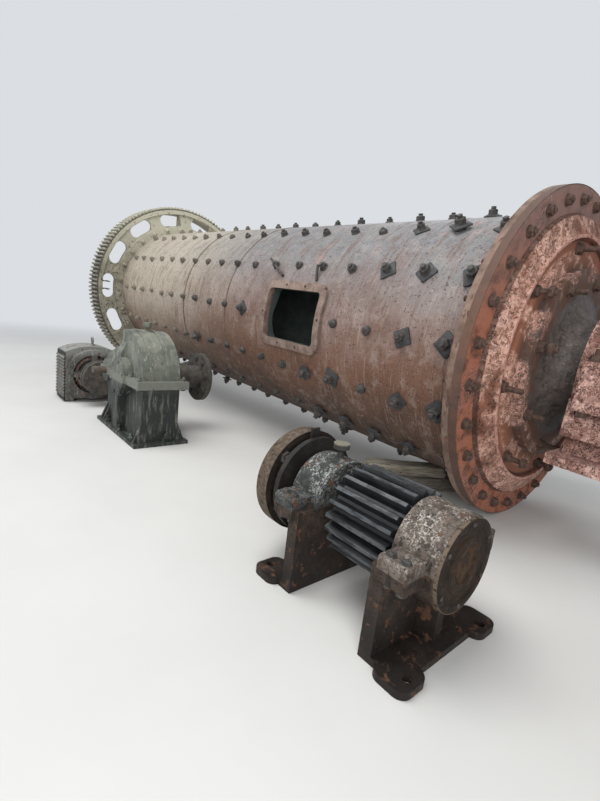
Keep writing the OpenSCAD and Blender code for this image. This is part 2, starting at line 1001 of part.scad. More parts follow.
module pinion_end_cover() {
    r = housing_r - ease;
    t = cover_t;
    color("#7d5a3c")
        stand()
            translate([0, 0, pinion_h])
                along(stand_x)
                    rotate_extrude($fn = fine)
                        polygon([[0, 0], [r, 0], [r, t], [r * 0.84, t], [r * 0.8, t * 0.6],
                                 [r * 0.62, t * 0.6], [r * 0.58, t], [r * 0.4, t],
                                 [r * 0.36, t * 0.65], [0, t * 0.65]]);
}

module grease_cup() {
    r = cup_r;
    h = cup_h;
    color(iron)
        stand()
            translate([far_housing_x + housing_len - cup_x, 0, pinion_h + housing_r + cup_pad_t])
                rotate_extrude($fn = small)
                    polygon([[0, 0], [r * 0.36, 0], [r * 0.36, h * 0.36], [r * 0.58, h * 0.52],
                             [r, h * 0.6], [r, h], [0, h]]);
}

module pinion() {
    outline = tooth_ring(pinion_teeth, 0, pinion_teeth - 1, pinion_root_r, pinion_pitch_r, pinion_tip_r);
    color(iron)
        stand()
            translate([0, 0, pinion_h])
                along(pinion_start)
                    difference() {
                        linear_extrude(height = pinion_face)
                            polygon(outline);
                        translate([0, 0, -eps])
                            cylinder(h = pinion_face + 2 * eps, r = pinion_seat_r, $fn = mid);
                    }
}

module pinion_shaft() {
    start = far_housing_x - disc_out;
    color("#4f4b47")
        stand()
            translate([0, 0, pinion_h]) {
                along(start)
                    cylinder(h = stand_x - ease - start, r = shaft_r, $fn = fine);
                along(pinion_start)
                    cylinder(h = pinion_face, r = pinion_seat_r, $fn = mid);
            }
}

// Smaller half of the flexible coupling, with the flat bar that stands up at its edge.
module coupling_plate() {
    start = far_housing_x - plate_out;
    color("#4a423c")
        stand()
            translate([0, 0, pinion_h]) {
                along(start)
                    difference() {
                        cylinder(h = plate_t, r = plate_r, $fn = fine);
                        translate([0, 0, -eps])
                            cylinder(h = plate_t + 2 * eps, r = shaft_r + seat_gap, $fn = mid);
                    }
                translate([start - bar_t, -bar_w * 0.8, plate_r + bar_rise - bar_h])
                    cube([bar_t, bar_w, bar_h]);
            }
}

module coupling_disc() {
    r = disc_r;
    hub_r = disc_r / 2;
    back = disc_ring + disc_web;
    color("#8d7762")
        stand()
            translate([0, 0, pinion_h])
                along(far_housing_x - disc_out)
                    rotate_extrude($fn = fine)
                        polygon([[shaft_r + seat_gap, 0], [hub_r, 0], [hub_r, disc_web],
                                 [r - disc_lip, disc_web], [r - disc_lip, disc_web * 0.7],
                                 [r, disc_web * 0.7], [r, back],
                                 [r - disc_lip, back], [r - disc_lip, back - disc_lip / 2],
                                 [shaft_r + seat_gap, back - disc_lip / 2]]);
}

// X runs from the reducer's far end, and the shafts lie across it in its split plane.
module reducer() {
    place(reducer_x - reducer_len, reducer_y)
        children();
}

module across(x, y, z) {
    translate([x, y, z])
        rotate([-90, 0, 0])
            children();
}

module shaft_bosses() {
    across(low_x, -boss_half, split_h)
        cylinder(h = 2 * boss_half, r = low_boss_r, $fn = mid);
    across(high_x, -boss_half, split_h)
        cylinder(h = 2 * boss_half, r = high_boss_r, $fn = mid);
}

module shaft_bores() {
    across(low_x, -reducer_w, split_h)
        cylinder(h = 2 * reducer_w, r = low_shaft_r + shaft_clearance, $fn = mid);
    across(high_x, -reducer_w, split_h)
        cylinder(h = 2 * reducer_w, r = high_shaft_r + shaft_clearance, $fn = mid);
}

// Outline of the rib that runs over the cover from one bearing boss to the other.
module saddle_rib() {
    top = cover_top_h - split_h;
    half = [[0.29, 0.998], [0.5, 0.9], [0.73, 0.72], [0.92, 0.5], [1, 0.25], [1, 0]];
    polygon(concat(
        [for (p = half) [p[0] * boss_half, p[1] * top]],
        [for (i = [len(half) - 1:-1:0]) [-half[i][0] * boss_half, half[i][1] * top]]
    ));
}

// Side view of the cover: a quarter round over the large wheel, then a step down to the small one.
module cover_outline() {
    rise = cover_top_h - split_h;
    intersection() {
        translate([low_x, 0])
            circle(r = rise, $fn = fine);
        translate([low_x - saddle_t, 0])
            square([reducer_len, reducer_len]);
    }
    intersection() {
        hull() {
            translate([high_x - lip_in, 0])
                circle(r = rise * 0.42, $fn = mid);
            translate([low_x - saddle_t - eps, 0])
                square([2 * eps, rise * 0.66]);
        }
        square([reducer_len, reducer_len]);
    }
}

module reducer_case() {
    foot_y = reducer_w / 2 - sole_hole_in;
    color(green)
        reducer()
            difference() {
                union() {
                    translate([0, -reducer_w / 2, 0])
                        cube([reducer_len, reducer_w, base_t]);
                    translate([end_in, -case_w / 2, base_t - eps])
                        cube([reducer_len - 2 * end_in, case_w, split_h - base_t + eps]);
                    translate([lip_in, -boss_half, split_h - split_t])
                        cube([reducer_len - 2 * lip_in, 2 * boss_half, split_t]);
                    shaft_bosses();
                    translate([low_x - saddle_t, -boss_half, base_t - eps])
                        cube([saddle_t, 2 * boss_half, split_h - base_t]);
                    for (x = [2 * end_in, gusset_in, reducer_len - end_in - gusset_t])
                        translate([x, 0, 0])
                            rotate([90, 0, 90])
                                linear_extrude(height = gusset_t)
                                    polygon([[-boss_half, base_t - eps], [boss_half, base_t - eps],
                                             [case_w / 2 - eps, gusset_h], [eps - case_w / 2, gusset_h]]);
                    intersection() {
                        translate([reducer_len - end_in - eps, plug_y, base_t])
                            along(0)
                                cylinder(h = plug_t, r = plug_r, $fn = small);
                        translate([0, -reducer_w, base_t - eps])
                            cube([2 * reducer_len, 2 * reducer_w, split_h]);
                    }
                }
                shaft_bores();
                translate([-eps, -reducer_w, split_h])
                    cube([reducer_len + 2 * eps, 2 * reducer_w, reducer_w]);
                for (x = [sole_hole_x, reducer_len - sole_hole_x], s = [-1, 1])
                    translate([x, s * foot_y, -eps])
                        cylinder(h = base_t + 2 * eps, r = sole_hole_r, $fn = small);
            }
}

module reducer_cover() {
    rise = cover_top_h - split_h;
    color(green)
        reducer()
            difference() {
                union() {
                    translate([0, case_w / 2, split_h])
                        rotate([90, 0, 0])
                            linear_extrude(height = case_w)
                                cover_outline();
                    translate([lip_in, -boss_half, split_h])
                        cube([reducer_len - 2 * lip_in, 2 * boss_half, split_t]);
                    shaft_bosses();
                    translate([low_x - saddle_t, 0, split_h])
                        rotate([90, 0, 90])
                            linear_extrude(height = saddle_t)
                                saddle_rib();
                    intersection() {
                        for (y = rib_ys)
                            across(low_x, y - band_t / 2, split_h)
                                cylinder(h = band_t, r = rise + band_rise, $fn = fine);
                        translate([low_x, -case_w, split_h])
                            cube([reducer_len, 2 * case_w, 2 * rise]);
                    }
                    translate([low_x + breather_x, 0, cover_top_h - split_t])
                        cylinder(h = split_t + breather_h * 0.5, r = breather_r * 0.55, $fn = small);
                    translate([low_x + breather_x, 0, cover_top_h + breather_h * 0.5])
                        cylinder(h = breather_h * 0.5, r = breather_r, $fn = small);
                }
                shaft_bores();
                translate([-eps, -reducer_w, split_h - 2 * reducer_w])
                    cube([reducer_len + 2 * eps, 2 * reducer_w, 2 * reducer_w]);
            }
}

module reducer_end_covers() {
    color("#6c7466")
        reducer() {
            across(low_x, -boss_half - end_cover_t, split_h)
                cylinder(h = end_cover_t, r = low_boss_r - band_rise, $fn = mid);
            across(high_x, boss_half, split_h)
                cylinder(h = end_cover_t, r = high_boss_r - band_rise, $fn = mid);
        }
}

module low_speed_shaft() {
    start = band_rise - boss_half;
    color("#5a5651")
        reducer()
            across(low_x, start, split_h)
                cylinder(h = output_end - band_rise - start, r = low_shaft_r, $fn = mid);
}

module output_coupling() {
    start = boss_half + output_gap;
    run = output_end - start;
    color("#6a5648")
        reducer()
            across(low_x, start, split_h)
                difference() {
                    union() {
                        cylinder(h = run, r = output_hub_r, $fn = mid);
                        translate([0, 0, run - output_t])
                            cylinder(h = output_t, r = output_r, $fn = fine);
                    }
                    translate([0, 0, -eps])
                        cylinder(h = run + 2 * eps, r = low_shaft_r + seat_gap, $fn = mid);
                }
}

module high_speed_shaft() {
    color("#5a5651")
        reducer()
            across(high_x, -boss_half - high_shaft_out, split_h)
                cylinder(h = 2 * boss_half + high_shaft_out - band_rise, r = high_shaft_r, $fn = mid);
}

// X runs from the drive end of the motor's body towards the reducer.
module motor() {
    place(motor_x, motor_y)
        children();
}

module motor_outline() {
    side = motor_half_w;
    rise = motor_top_h - motor_side_h;
    arch_r = (side * side + rise * rise) / 2 / rise;
    translate([-side, motor_foot_h])
        square([2 * side, motor_side_h - motor_foot_h]);
    intersection() {
        translate([0, motor_top_h - arch_r])
            circle(r = arch_r, $fn = fine);
        translate([-side, motor_side_h - eps])
            square([2 * side, arch_r]);
    }
}

// Lies along X at the height of the motor shaft, from the given distance.
module on_motor_axis(x) {
    motor()
        translate([0, 0, motor_h])
            along(x)
                children();
}

module motor_body() {
    rail_y = motor_half_w - motor_rail_w / 2;
    color("#7d7f74") {
        difference() {
            union() {
                motor()
                    translate([-motor_len, 0, 0])
                        rotate([90, 0, 90])
                            linear_extrude(height = motor_len)
                                motor_outline();
                motor()
                    for (s = [-1, 1])
                        translate([-motor_len, s * rail_y - motor_rail_w / 2, 0])
                            cube([motor_len, motor_rail_w, motor_foot_h + eps]);
                on_motor_axis(-motor_len - tail_len)
                    cylinder(h = tail_len + eps, r1 = tail_r * 0.9, r2 = tail_r, $fn = mid);
            }
            on_motor_axis(-recess_depth)
                cylinder(h = recess_depth + eps, r = bell_in_r, $fn = mid);
            on_motor_axis(-motor_len * 0.8)
                cylinder(h = motor_len, r = motor_shaft_r + shaft_clearance, $fn = mid);
        }
    }
}

module motor_side_covers() {
    inner = motor_half_w + seat_gap;
    color("#6f7168")
        motor()
            for (y = [-inner - panel_t, inner])
                translate([panel_in - motor_len, y, panel_in / 2])
                    cube([motor_len - panel_in, panel_t, motor_side_h - panel_in]);
}

// Drive end frame: a ring, a hub and the struts between them, with open windows.
module motor_end_bell() {
    color("#6b6a64")
        on_motor_axis(seat_gap)
            difference() {
                union() {
                    tube(bell_t, bell_r, bell_in_r, mid);
                    cylinder(h = bell_t, r = bell_hub_r, $fn = mid);
                    for (a = [0:90:270])
                        rotate(a)
                            translate([bell_hub_r * 0.8, -strut_w / 2, 0])
                                cube([bell_in_r - bell_hub_r * 0.8 + 2 * seat_gap, strut_w, bell_t * 0.8]);
                }
                translate([0, 0, -eps])
                    cylinder(h = bell_t + 2 * eps, r = motor_shaft_r + shaft_clearance, $fn = mid);
            }
}

module motor_shaft() {
    start = -motor_len * 0.8 + panel_in;
    color("#5a5651")
        on_motor_axis(start)
            cylinder(h = motor_coupling_end + band_rise - start, r = motor_shaft_r, $fn = mid);
}

module motor_coupling() {
    start = bell_t + output_gap;
    run = motor_coupling_end - start;
    color("#544c45")
        on_motor_axis(start)
            difference() {
                union() {
                    cylinder(h = run, r = motor_coupling_r * 0.52, $fn = mid);
                    translate([0, 0, run * 0.45])
                        cylinder(h = run * 0.2, r = motor_coupling_r, $fn = mid);
                    translate([0, 0, run * 0.75])
                        cylinder(h = run * 0.25, r = motor_coupling_r, $fn = mid);
                }
                translate([0, 0, -eps])
                    cylinder(h = run + 2 * eps, r = motor_shaft_r + seat_gap, $fn = mid);
            }
}

shell_course_1();
shell_course_2();
shell_course_3_before_manhole();
shell_course_3_beside_manhole();
shell_course_3_after_manhole();
shell_course_4();
shell_liner();
manhole_frame();
gear_end_flange();
discharge_flange();
feed_head();
discharge_head();
feed_trunnion();
discharge_trunnion();
girth_gear_camera_half();
girth_gear_far_half();
feed_bearing_base();
feed_bearing_cap();
feed_bearing_bush();
discharge_bearing_base();
discharge_bearing_cap();
discharge_bearing_bush();
chock_timbers();
pinion_pedestal_near();
pinion_pedestal_far();
pinion_cap_near();
pinion_cap_far();
pinion_end_cover();
grease_cup();
pinion();
pinion_shaft();
coupling_plate();
coupling_disc();
reducer_case();
reducer_cover();
reducer_end_covers();
low_speed_shaft();
output_coupling();
high_speed_shaft();
motor_body();
motor_side_covers();
motor_end_bell();
motor_shaft();
motor_coupling();
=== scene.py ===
import random
from collections import namedtuple
from math import cos, pi, radians, sin, tau

import bmesh
import bpy
from mathutils import Matrix, Vector


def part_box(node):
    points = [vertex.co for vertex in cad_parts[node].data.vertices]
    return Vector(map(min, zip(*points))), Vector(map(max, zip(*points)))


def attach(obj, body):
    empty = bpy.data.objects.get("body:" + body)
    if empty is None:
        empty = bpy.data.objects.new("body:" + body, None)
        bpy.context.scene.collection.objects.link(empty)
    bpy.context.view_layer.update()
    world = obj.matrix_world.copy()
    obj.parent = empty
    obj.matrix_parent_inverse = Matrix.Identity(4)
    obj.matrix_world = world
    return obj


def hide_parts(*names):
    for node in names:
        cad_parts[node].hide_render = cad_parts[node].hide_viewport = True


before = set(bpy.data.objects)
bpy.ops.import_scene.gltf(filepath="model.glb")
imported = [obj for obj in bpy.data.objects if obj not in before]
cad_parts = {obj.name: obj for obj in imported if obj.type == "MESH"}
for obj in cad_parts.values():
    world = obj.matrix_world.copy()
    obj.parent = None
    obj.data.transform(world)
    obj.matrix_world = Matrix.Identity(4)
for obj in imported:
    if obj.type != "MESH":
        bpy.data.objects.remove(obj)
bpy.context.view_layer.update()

# All sizes and places are in metres, and the same as in the part's source.
# The yard's frame: X along the ground from below the gear face, Y from the drum's axis.
MILL_X, MILL_Y = -2.765, 0.377
YARD = Matrix.Translation((MILL_X, MILL_Y, 0))
# The drum's own frame: X along its axis from the girth gear towards the discharge end.
TILT = radians(2.31104)
AXIS_HEIGHT = 1.295954
DRUM = YARD @ Matrix.Translation((0, 0, AXIS_HEIGHT)) @ Matrix.Rotation(TILT, 4, "Y")
# The far end's frame looks the other way, from the outer face of the gear's web.
WEB_T = 0.045
FEED = DRUM @ Matrix.Translation((-WEB_T, 0, 0)) @ Matrix.Rotation(pi, 4, "Z")

# Drum, in its own frame
SHELL_R, SHELL_LEN, FLANGE_T = 0.915, 5.575, 0.038
LINER_R = 0.855
SEAMS = (2.07, 2.98, 4.95)
DOOR_X, DOOR_ANGLE = 4.0, radians(2.5)
DOOR_HALF, DOOR_RIM = (0.315, 0.205), 0.062
ROWS = 14
ROW_ANGLE, ROW_STEP = radians(2.43), tau / ROWS
BOLT_X, BOLT_PITCH, BOLTS_A_ROW = 0.239, 0.3047, 18
# Faces across the discharge end, and the radii where the head steps
HEAD_FACE, DISH_FACE, NECK_FACE = 5.625, 5.669, 5.742
FLANGE_R, STEP_R, LIP_OUT_R, LIP_IN_R = 1.07, 0.912, 0.802, 0.778
GEAR_ROOT_R = 1.2555
# Main bearing: where its housing starts, its length, and its bolting ledges
BEARING_X, BEARING_LEN = 5.932, 0.34
LEDGE_Y, LEDGE_TOP, LEDGE_FOOT = 0.455, 0.07, -0.2

# Pinion stand, in the yard's frame: its axis, then faces along it
STAND_Y, STAND_Z = -1.683, 0.373
NEAR_HOUSING_X, FAR_HOUSING_X = 5.911, 5.511
COVER_X, DISC_X, PLATE_X = 6.1045, 5.221, 5.271
LUG_Y, LUG_HALF_T = 0.267, 0.05
PINION_TIP_R, COVER_R, DISC_R = 0.207, 0.1805, 0.258

# Reducer
REDUCER_Y, SPLIT_Z, SPLIT_T = -1.683, 0.5, 0.032
CASE_HALF_W, CASE_FRONT_X, BASE_T = 0.155, 3.403, 0.03
LOW_SHAFT_X, HIGH_SHAFT_X, BOSS_FACE = 3.0, 2.65, 0.235
DRAIN_Y, DRAIN_Z, DRAIN_T = 0.058, 0.078, 0.024
OUTPUT_END, OUTPUT_T = 0.555, 0.045

# Motor
MOTOR_Y, MOTOR_Z = -1.76, 0.303
PANEL_X, PANEL_FACE = 1.585, 0.2803
BELL_X, COIL_X, MOTOR_END_X = 1.81, 1.668, 2.06
EYE_X, EYE_Y, EYE_FOOT_Z, EYE_MIDDLE_Z = 1.6, -1.735, 0.597, 0.655

FLIP = Matrix.Rotation(pi, 4, "X")
BACK = Matrix.Rotation(pi, 4, "Y")


def colour(red, green, blue):
    """A colour written as it shows on a screen, from 0 to 255."""
    return tuple(((c / 255 + 0.055) / 1.055) ** 2.4 for c in (red, green, blue)) + (1,)


BACKDROP = colour(219, 222, 226)

DrumPoint = namedtuple("DrumPoint", "along girth radius up")


class Finish:
    """A procedural finish, built up from a ground by coats that each have their own mask.

    Tints are colours as they show on a screen, from 0 to 255.
    """

    def __init__(self, name, metal=0.0, gloss=0.5):
        self.material = bpy.data.materials.new(name)
        self.material.use_nodes = True
        tree = self.material.node_tree
        self.nodes, self.links = tree.nodes, tree.links
        self.shader = tree.nodes["Principled BSDF"]
        self.shader.inputs["Metallic"].default_value = metal
        self.shader.inputs["Specular IOR Level"].default_value = gloss
        self.point = self.nodes.new("ShaderNodeTexCoord").outputs["Object"]
        self.height = 0.0

    def feed(self, socket, value):
        if isinstance(value, bpy.types.NodeSocket):
            self.links.new(value, socket)
        else:
            socket.default_value = value

    def fed(self, kind, *values, operation=None):
        """A new node of a kind, with its first inputs fed."""
        node = self.nodes.new(kind)
        if operation:
            node.operation = operation
        for socket, value in zip(node.inputs, values):
            self.feed(socket, value)
        return node

    def math(self, operation, *values):
        return self.fed("ShaderNodeMath", *values, operation=operation).outputs[0]

    def vector(self, operation, *values):
        return self.fed("ShaderNodeVectorMath", *values, operation=operation).outputs[0]

    def parts(self, point):
        return self.fed("ShaderNodeSeparateXYZ", point).outputs

    def joined(self, x, y, z):
        return self.fed("ShaderNodeCombineXYZ", x, y, z).outputs[0]

    def added(self, value, pattern, amount):
        return self.math("ADD", value, self.math("MULTIPLY", pattern, amount))

    def length(self, x, y):
        squares = [self.math("MULTIPLY", value, value) for value in (x, y)]
        return self.math("SQRT", self.math("ADD", *squares))

    def away(self, value, place):
        """How far value is from place, on either side."""
        return self.math("ABSOLUTE", self.math("SUBTRACT", value, place))

    def noise(self, size, detail=5.0, rough=0.6, warp=0.0, stretch=(1, 1, 1), point=None):
        """Clouds about as wide as size, with finer ones up to detail; stretch lengthens an axis."""
        node = self.nodes.new("ShaderNodeTexNoise")
        scale = tuple(1 / (size * k) for k in stretch)
        self.feed(node.inputs["Vector"], self.vector("MULTIPLY", point or self.point, scale))
        node.inputs["Scale"].default_value = 1.0
        node.inputs["Detail"].default_value = detail
        node.inputs["Roughness"].default_value = rough
        node.inputs["Distortion"].default_value = warp
        return node.outputs["Fac"]

    def step(self, value, low, high):
        """0 below low and 1 above high, smooth between them."""
        node = self.fed("ShaderNodeMapRange", value, low, high, 0.0, 1.0)
        node.interpolation_type = "SMOOTHSTEP"
        return node.outputs[0]

    def inverse(self, mask):
        return self.math("SUBTRACT", 1.0, mask)

    def below(self, value, low, high):
        """1 below low and 0 above high, smooth between them."""
        return self.inverse(self.step(value, low, high))

    def between(self, value, rise, fall):
        """0, then 1 from the rise to the fall, then 0 again."""
        return self.where(self.step(value, *rise), self.below(value, *fall))

    def spots(self, low, high, size, *shape, **more):
        """Noise as a mask: 0 where it is below low and 1 where it is above high."""
        return self.step(self.noise(size, *shape, **more), low, high)

    def where(self, mask, *others):
        """1 where all the masks are."""
        for other in others:
            mask = self.math("MULTIPLY", mask, other)
        return mask

    def above(self, low, high):
        """0 under the height low and 1 over the height high."""
        return self.step(self.parts(self.point)[2], low, high)

    def mixed(self, mask, under, over):
        node = self.nodes.new("ShaderNodeMix")
        node.data_type = "RGBA"
        self.feed(node.inputs[0], mask)
        for socket, tint in zip((node.inputs[6], node.inputs[7]), (under, over)):
            self.feed(socket, tint if isinstance(tint, bpy.types.NodeSocket) else colour(*tint))
        return node.outputs[2]

    def ground(self, dark, light, size, rough=0.8):
        self.colour = self.mixed(self.spots(0.32, 0.68, size), dark, light)
        self.rough = self.added(rough - 0.06, self.noise(size / 3), 0.12)

    def coat(self, mask, tint, rough=0.8, lift=0.0, share=1.0):
        """Covers a share of the ground with a tint where mask is 1, standing lift above it."""
        if share < 1:
            mask = self.where(mask, share)
        self.colour = self.mixed(mask, self.colour, tint)
        self.rough = self.added(self.where(self.rough, self.inverse(mask)), mask, rough)
        if lift:
            self.raise_by(mask, lift)

    def raise_by(self, pattern, metres):
        self.height = self.added(self.height, pattern, metres)

    def drum_point(self):
        """Place on the drum: along its axis, round it from mid height, radius and height."""
        node = self.nodes.new("ShaderNodeMapping")
        node.vector_type = "TEXTURE"
        self.feed(node.inputs["Vector"], self.point)
        node.inputs["Location"].default_value = DRUM.translation
        node.inputs["Rotation"].default_value = (0, TILT, 0)
        x, y, z = self.parts(node.outputs[0])
        turn = self.math("ARCTAN2", z, self.math("ABSOLUTE", y))
        return DrumPoint(x, self.math("MULTIPLY", turn, SHELL_R), self.length(y, z), z)

    def stand_radius(self):
        """Distance from the axis of the pinion stand."""
        axis = (0, STAND_Y + MILL_Y, STAND_Z)
        place = self.parts(self.vector("SUBTRACT", self.point, axis))
        return self.length(place[1], place[2])

    def done(self):
        self.feed(self.shader.inputs["Base Color"], self.colour)
        self.feed(self.shader.inputs["Roughness"], self.rough)
        bump = self.nodes.new("ShaderNodeBump")
        bump.inputs["Distance"].default_value = 1.0
        self.feed(bump.inputs["Height"], self.height)
        self.links.new(bump.outputs[0], self.shader.inputs["Normal"])
        return self.material


def rusty(name, dark, light, fleck, size=0.12, pits=0.0006, rough=0.82, extra=None, gloss=0.4):
    """Weathered iron: clouds of two rust tones, small dark flecks and a pitted skin."""
    look = Finish(name, gloss=gloss)
    look.ground(dark, light, size, rough)
    look.coat(look.spots(0.56, 0.66, size / 7, 6), fleck, rough)
    look.raise_by(look.noise(size / 12, 6, rough=0.7), pits)
    look.raise_by(look.noise(size, 3), pits * 2)
    if extra:
        extra(look)
    return look.done()


def shell_finish():
    """Rolled plate: grey above as a painted sky reflection, pinkish primer along the middle, brown dust
    below that deepens into painted shade at the bottom, streaks round it.
    """
    look = Finish("rolled_plate")
    drum = look.drum_point()
    skin = look.joined(drum.along, drum.girth, 0.0)
    look.ground((106, 89, 83), (134, 114, 107), 0.3, 0.72)
    high = look.added(drum.up, look.noise(0.3, 8), 0.8)
    # Painted sky reflection: the top of the drum is grey.
    look.coat(look.step(high, 0.45, 1.1), (112, 114, 117), 0.62)
    # Brown below: partly dust, partly painted shade.
    look.coat(look.below(high, 0.05, 0.62), (112, 76, 56), 0.82)
    # Painted shade: darkest at the bottom of the drum.
    look.coat(look.below(high, -0.4, 0.22), (64, 46, 36), 0.86)
    # Paler towards the girth gear, over all but the bottom.
    to_gear = look.math("ADD", look.math("MULTIPLY", drum.along, -1.0), look.noise(0.4))
    paler_near_gear = look.where(look.step(to_gear, -3.0, -0.7), look.step(drum.up, -0.75, 0.1))
    look.coat(paler_near_gear, (178, 170, 153), 0.78, share=0.8)
    clouds = look.noise(0.11, 9, rough=0.72, warp=0.5)
    look.coat(look.step(clouds, 0.52, 0.66), (96, 76, 66), 0.8, share=0.45)
    look.coat(look.step(clouds, 0.5, 0.36), (168, 156, 148), 0.68, share=0.3)
    belt = look.where(look.step(drum.up, -0.2, 0.3), look.step(drum.along, 2.4, 4.2))
    worn = look.spots(0.44, 0.6, 0.5, 3)
    swirl = look.spots(0.54, 0.64, 0.06, 7, rough=0.62, warp=1.2, stretch=(1, 5, 1), point=skin)
    look.coat(look.where(belt, worn, swirl), (164, 128, 122), 0.78, 0.0004, share=0.6)
    streaks = look.noise(0.008, 5, stretch=(1, 22, 1), point=skin)
    look.coat(look.step(streaks, 0.5, 0.68), (88, 74, 67), 0.74, share=0.55)
    shifted = look.vector("ADD", skin, (7, 3, 0))
    pale = look.spots(0.56, 0.7, 0.011, 5, stretch=(1, 24, 1), point=shifted)
    look.coat(pale, (172, 158, 147), 0.74, share=0.42)
    shifted = look.vector("ADD", skin, (3, 9, 0))
    runs = look.spots(0.53, 0.68, 0.05, 7, stretch=(1, 9, 1), point=shifted)
    look.coat(runs, (100, 70, 53), 0.85, share=0.6)
    look.coat(look.spots(0.57, 0.64, 0.016, 7), (62, 49, 42), 0.85, -0.0006, share=0.8)
    look.coat(look.spots(0.62, 0.7, 0.007, 4), (184, 168, 156), 0.8, share=0.6)
    look.raise_by(look.noise(0.014, 7, rough=0.75), 0.0012)
    look.raise_by(streaks, 0.0006)
    look.raise_by(look.noise(0.5, 2), 0.007)
    return look.done()


def scale_coats(look, zone, tint, size=0.02, cover=0.5):
    """Primer that curls off the rust in fine ridges and crisp-edged flakes."""
    ridges = look.below(look.away(look.noise(size, 3, warp=2.2), 0.5), 0.03, 0.055)
    islands = look.spots(cover, cover + 0.04, size * 1.7, 9, rough=0.66, warp=0.7)
    left = look.spots(0.36, 0.52, size * 9, 4)
    mask = look.where(zone, look.where(left, look.math("MAXIMUM", ridges, islands)))
    look.coat(mask, tint, 0.8, 0.0011)
    worn = look.where(mask, look.spots(0.5, 0.66, size * 0.7, 4))
    look.coat(worn, (232, 206, 192), 0.7, share=0.7)
    cracks = look.where(zone, look.spots(0.56, 0.6, size * 0.9, 8, rough=0.75, warp=1.0))
    look.coat(cracks, (56, 38, 31), 0.85, -0.0012, share=0.9)


def head_finish():
    """Orange flange ring, curled primer outside the lip, and a darker hub."""
    look = Finish("scaling_head", gloss=0.35)
    drum = look.drum_point()
    radius = drum.radius
    look.ground((104, 68, 54), (150, 99, 79), 0.1, 0.8)
    look.coat(look.spots(0.55, 0.62, 0.02, 8), (70, 48, 40), 0.85)
    ring = look.step(radius, STEP_R - 0.004, STEP_R + 0.004)
    face = look.where(ring, look.spots(0.38, 0.56, 0.1, 8))
    look.coat(face, (164, 104, 81), 0.8, share=0.85)
    look.coat(look.where(ring, look.step(drum.up, 0.1, 0.9)), (132, 112, 108), 0.75, share=0.7)
    look.coat(look.below(radius, LIP_IN_R - 0.023, LIP_IN_R - 0.013), (140, 92, 70), 0.8, share=0.75)
    look.coat(look.below(radius, 0.6, 0.68), (88, 68, 58), 0.8, share=0.7)
    patches = look.where(look.spots(0.44, 0.54, 0.2, 5), look.below(radius, 0.69, 0.72))
    crusted = look.math("MAXIMUM", look.step(radius, LIP_IN_R - 0.002, LIP_IN_R + 0.004), patches)
    scale_coats(look, look.where(look.inverse(ring), crusted), (204, 160, 143), 0.022, 0.48)
    scale_coats(look, look.where(ring, look.spots(0.5, 0.6, 0.3)), (150, 112, 102), 0.02, 0.58)
    lip = look.between(radius, (LIP_IN_R - 0.004, LIP_IN_R), (LIP_OUT_R - 0.008, LIP_OUT_R - 0.003))
    chipped = look.spots(0.44, 0.5, 0.03, 8)
    look.coat(look.where(lip, chipped), (206, 158, 146), 0.7, 0.0006, share=0.85)
    groove = look.between(radius, (LIP_IN_R - 0.024, LIP_IN_R - 0.018), (LIP_IN_R - 0.012, LIP_IN_R - 0.004))
    look.coat(groove, (58, 42, 37), 0.85, share=0.75)
    edge = look.between(radius, (STEP_R - 0.015, STEP_R - 0.007), (STEP_R - 0.001, STEP_R + 0.005))
    look.coat(edge, (54, 38, 33), 0.85, share=0.7)
    look.coat(look.step(radius, FLANGE_R - 0.008, FLANGE_R - 0.003), (82, 66, 58), 0.85, share=0.85)
    look.raise_by(look.noise(0.014, 7, rough=0.7), 0.0014)
    look.raise_by(look.noise(0.09, 3), 0.003)
    return look.done()


def neck_finish():
    """Grey turned neck, with crusts of primer left on its flange."""
    look = Finish("neck_casting", gloss=0.35)
    drum = look.drum_point()
    look.ground((72, 66, 63), (98, 89, 85), 0.04, 0.62)
    lathe = look.joined(drum.along, look.where(drum.radius, 0.3), 0.0)
    look.coat(look.spots(0.5, 0.68, 0.008, 5, point=lathe), (104, 95, 90), 0.5, share=0.5)
    look.coat(look.spots(0.54, 0.62, 0.05, 9, rough=0.7), (46, 41, 38), 0.7, share=0.6)
    look.coat(look.spots(0.6, 0.66, 0.012, 5), (142, 130, 122), 0.7, share=0.7)
    flange = look.step(drum.radius, 0.44, 0.47)
    look.coat(look.where(flange, look.spots(0.3, 0.55, 0.12)), (96, 70, 58), 0.82)
    crusted = look.where(look.step(drum.radius, 0.5, 0.56), look.spots(0.44, 0.54, 0.2, 5))
    scale_coats(look, crusted, (200, 156, 140), 0.02, 0.5)
    look.raise_by(look.noise(0.01, 6, rough=0.7), 0.001)
    return look.done()


def flange_finish():
    """Turned face with chips that run round it."""
    look = Finish("turned_flange")
    drum = look.drum_point()
    look.ground((96, 76, 65), (132, 110, 97), 0.09, 0.8)
    skin = look.joined(drum.along, drum.girth, drum.radius)
    chips = look.spots(0.55, 0.63, 0.02, 7, stretch=(1, 3, 1), point=skin)
    look.coat(chips, (82, 60, 50), 0.85, -0.0005)
    look.coat(look.spots(0.6, 0.66, 0.05, 7), (128, 84, 64), 0.8)
    look.raise_by(look.noise(0.012, 6, rough=0.7), 0.0008)
    return look.done()


def liner_finish():
    """Polished wear plate, with painted shade on its outer side and in the chamber's front by the manhole.
    """
    look = Finish("wear_plate")
    drum = look.drum_point()
    look.ground((132, 146, 143), (158, 170, 166), 0.2, 0.5)
    look.coat(look.spots(0.58, 0.66, 0.05, 6), (110, 120, 117), 0.6)
    # Painted shade on the liner's outer side and its cut edge.
    look.coat(look.step(drum.radius, LINER_R + 0.002, LINER_R + 0.006), (66, 72, 70), 0.7)
    # Painted shade in the chamber's front, round the manhole.
    by_door = look.below(look.away(drum.along, DOOR_X), 0.4, 0.6)
    front = look.below(look.parts(look.point)[1], -0.3, 0.0)
    look.coat(look.where(by_door, front), (62, 70, 69), 0.7)
    look.raise_by(look.noise(0.03, 5), 0.0006)
    return look.done()


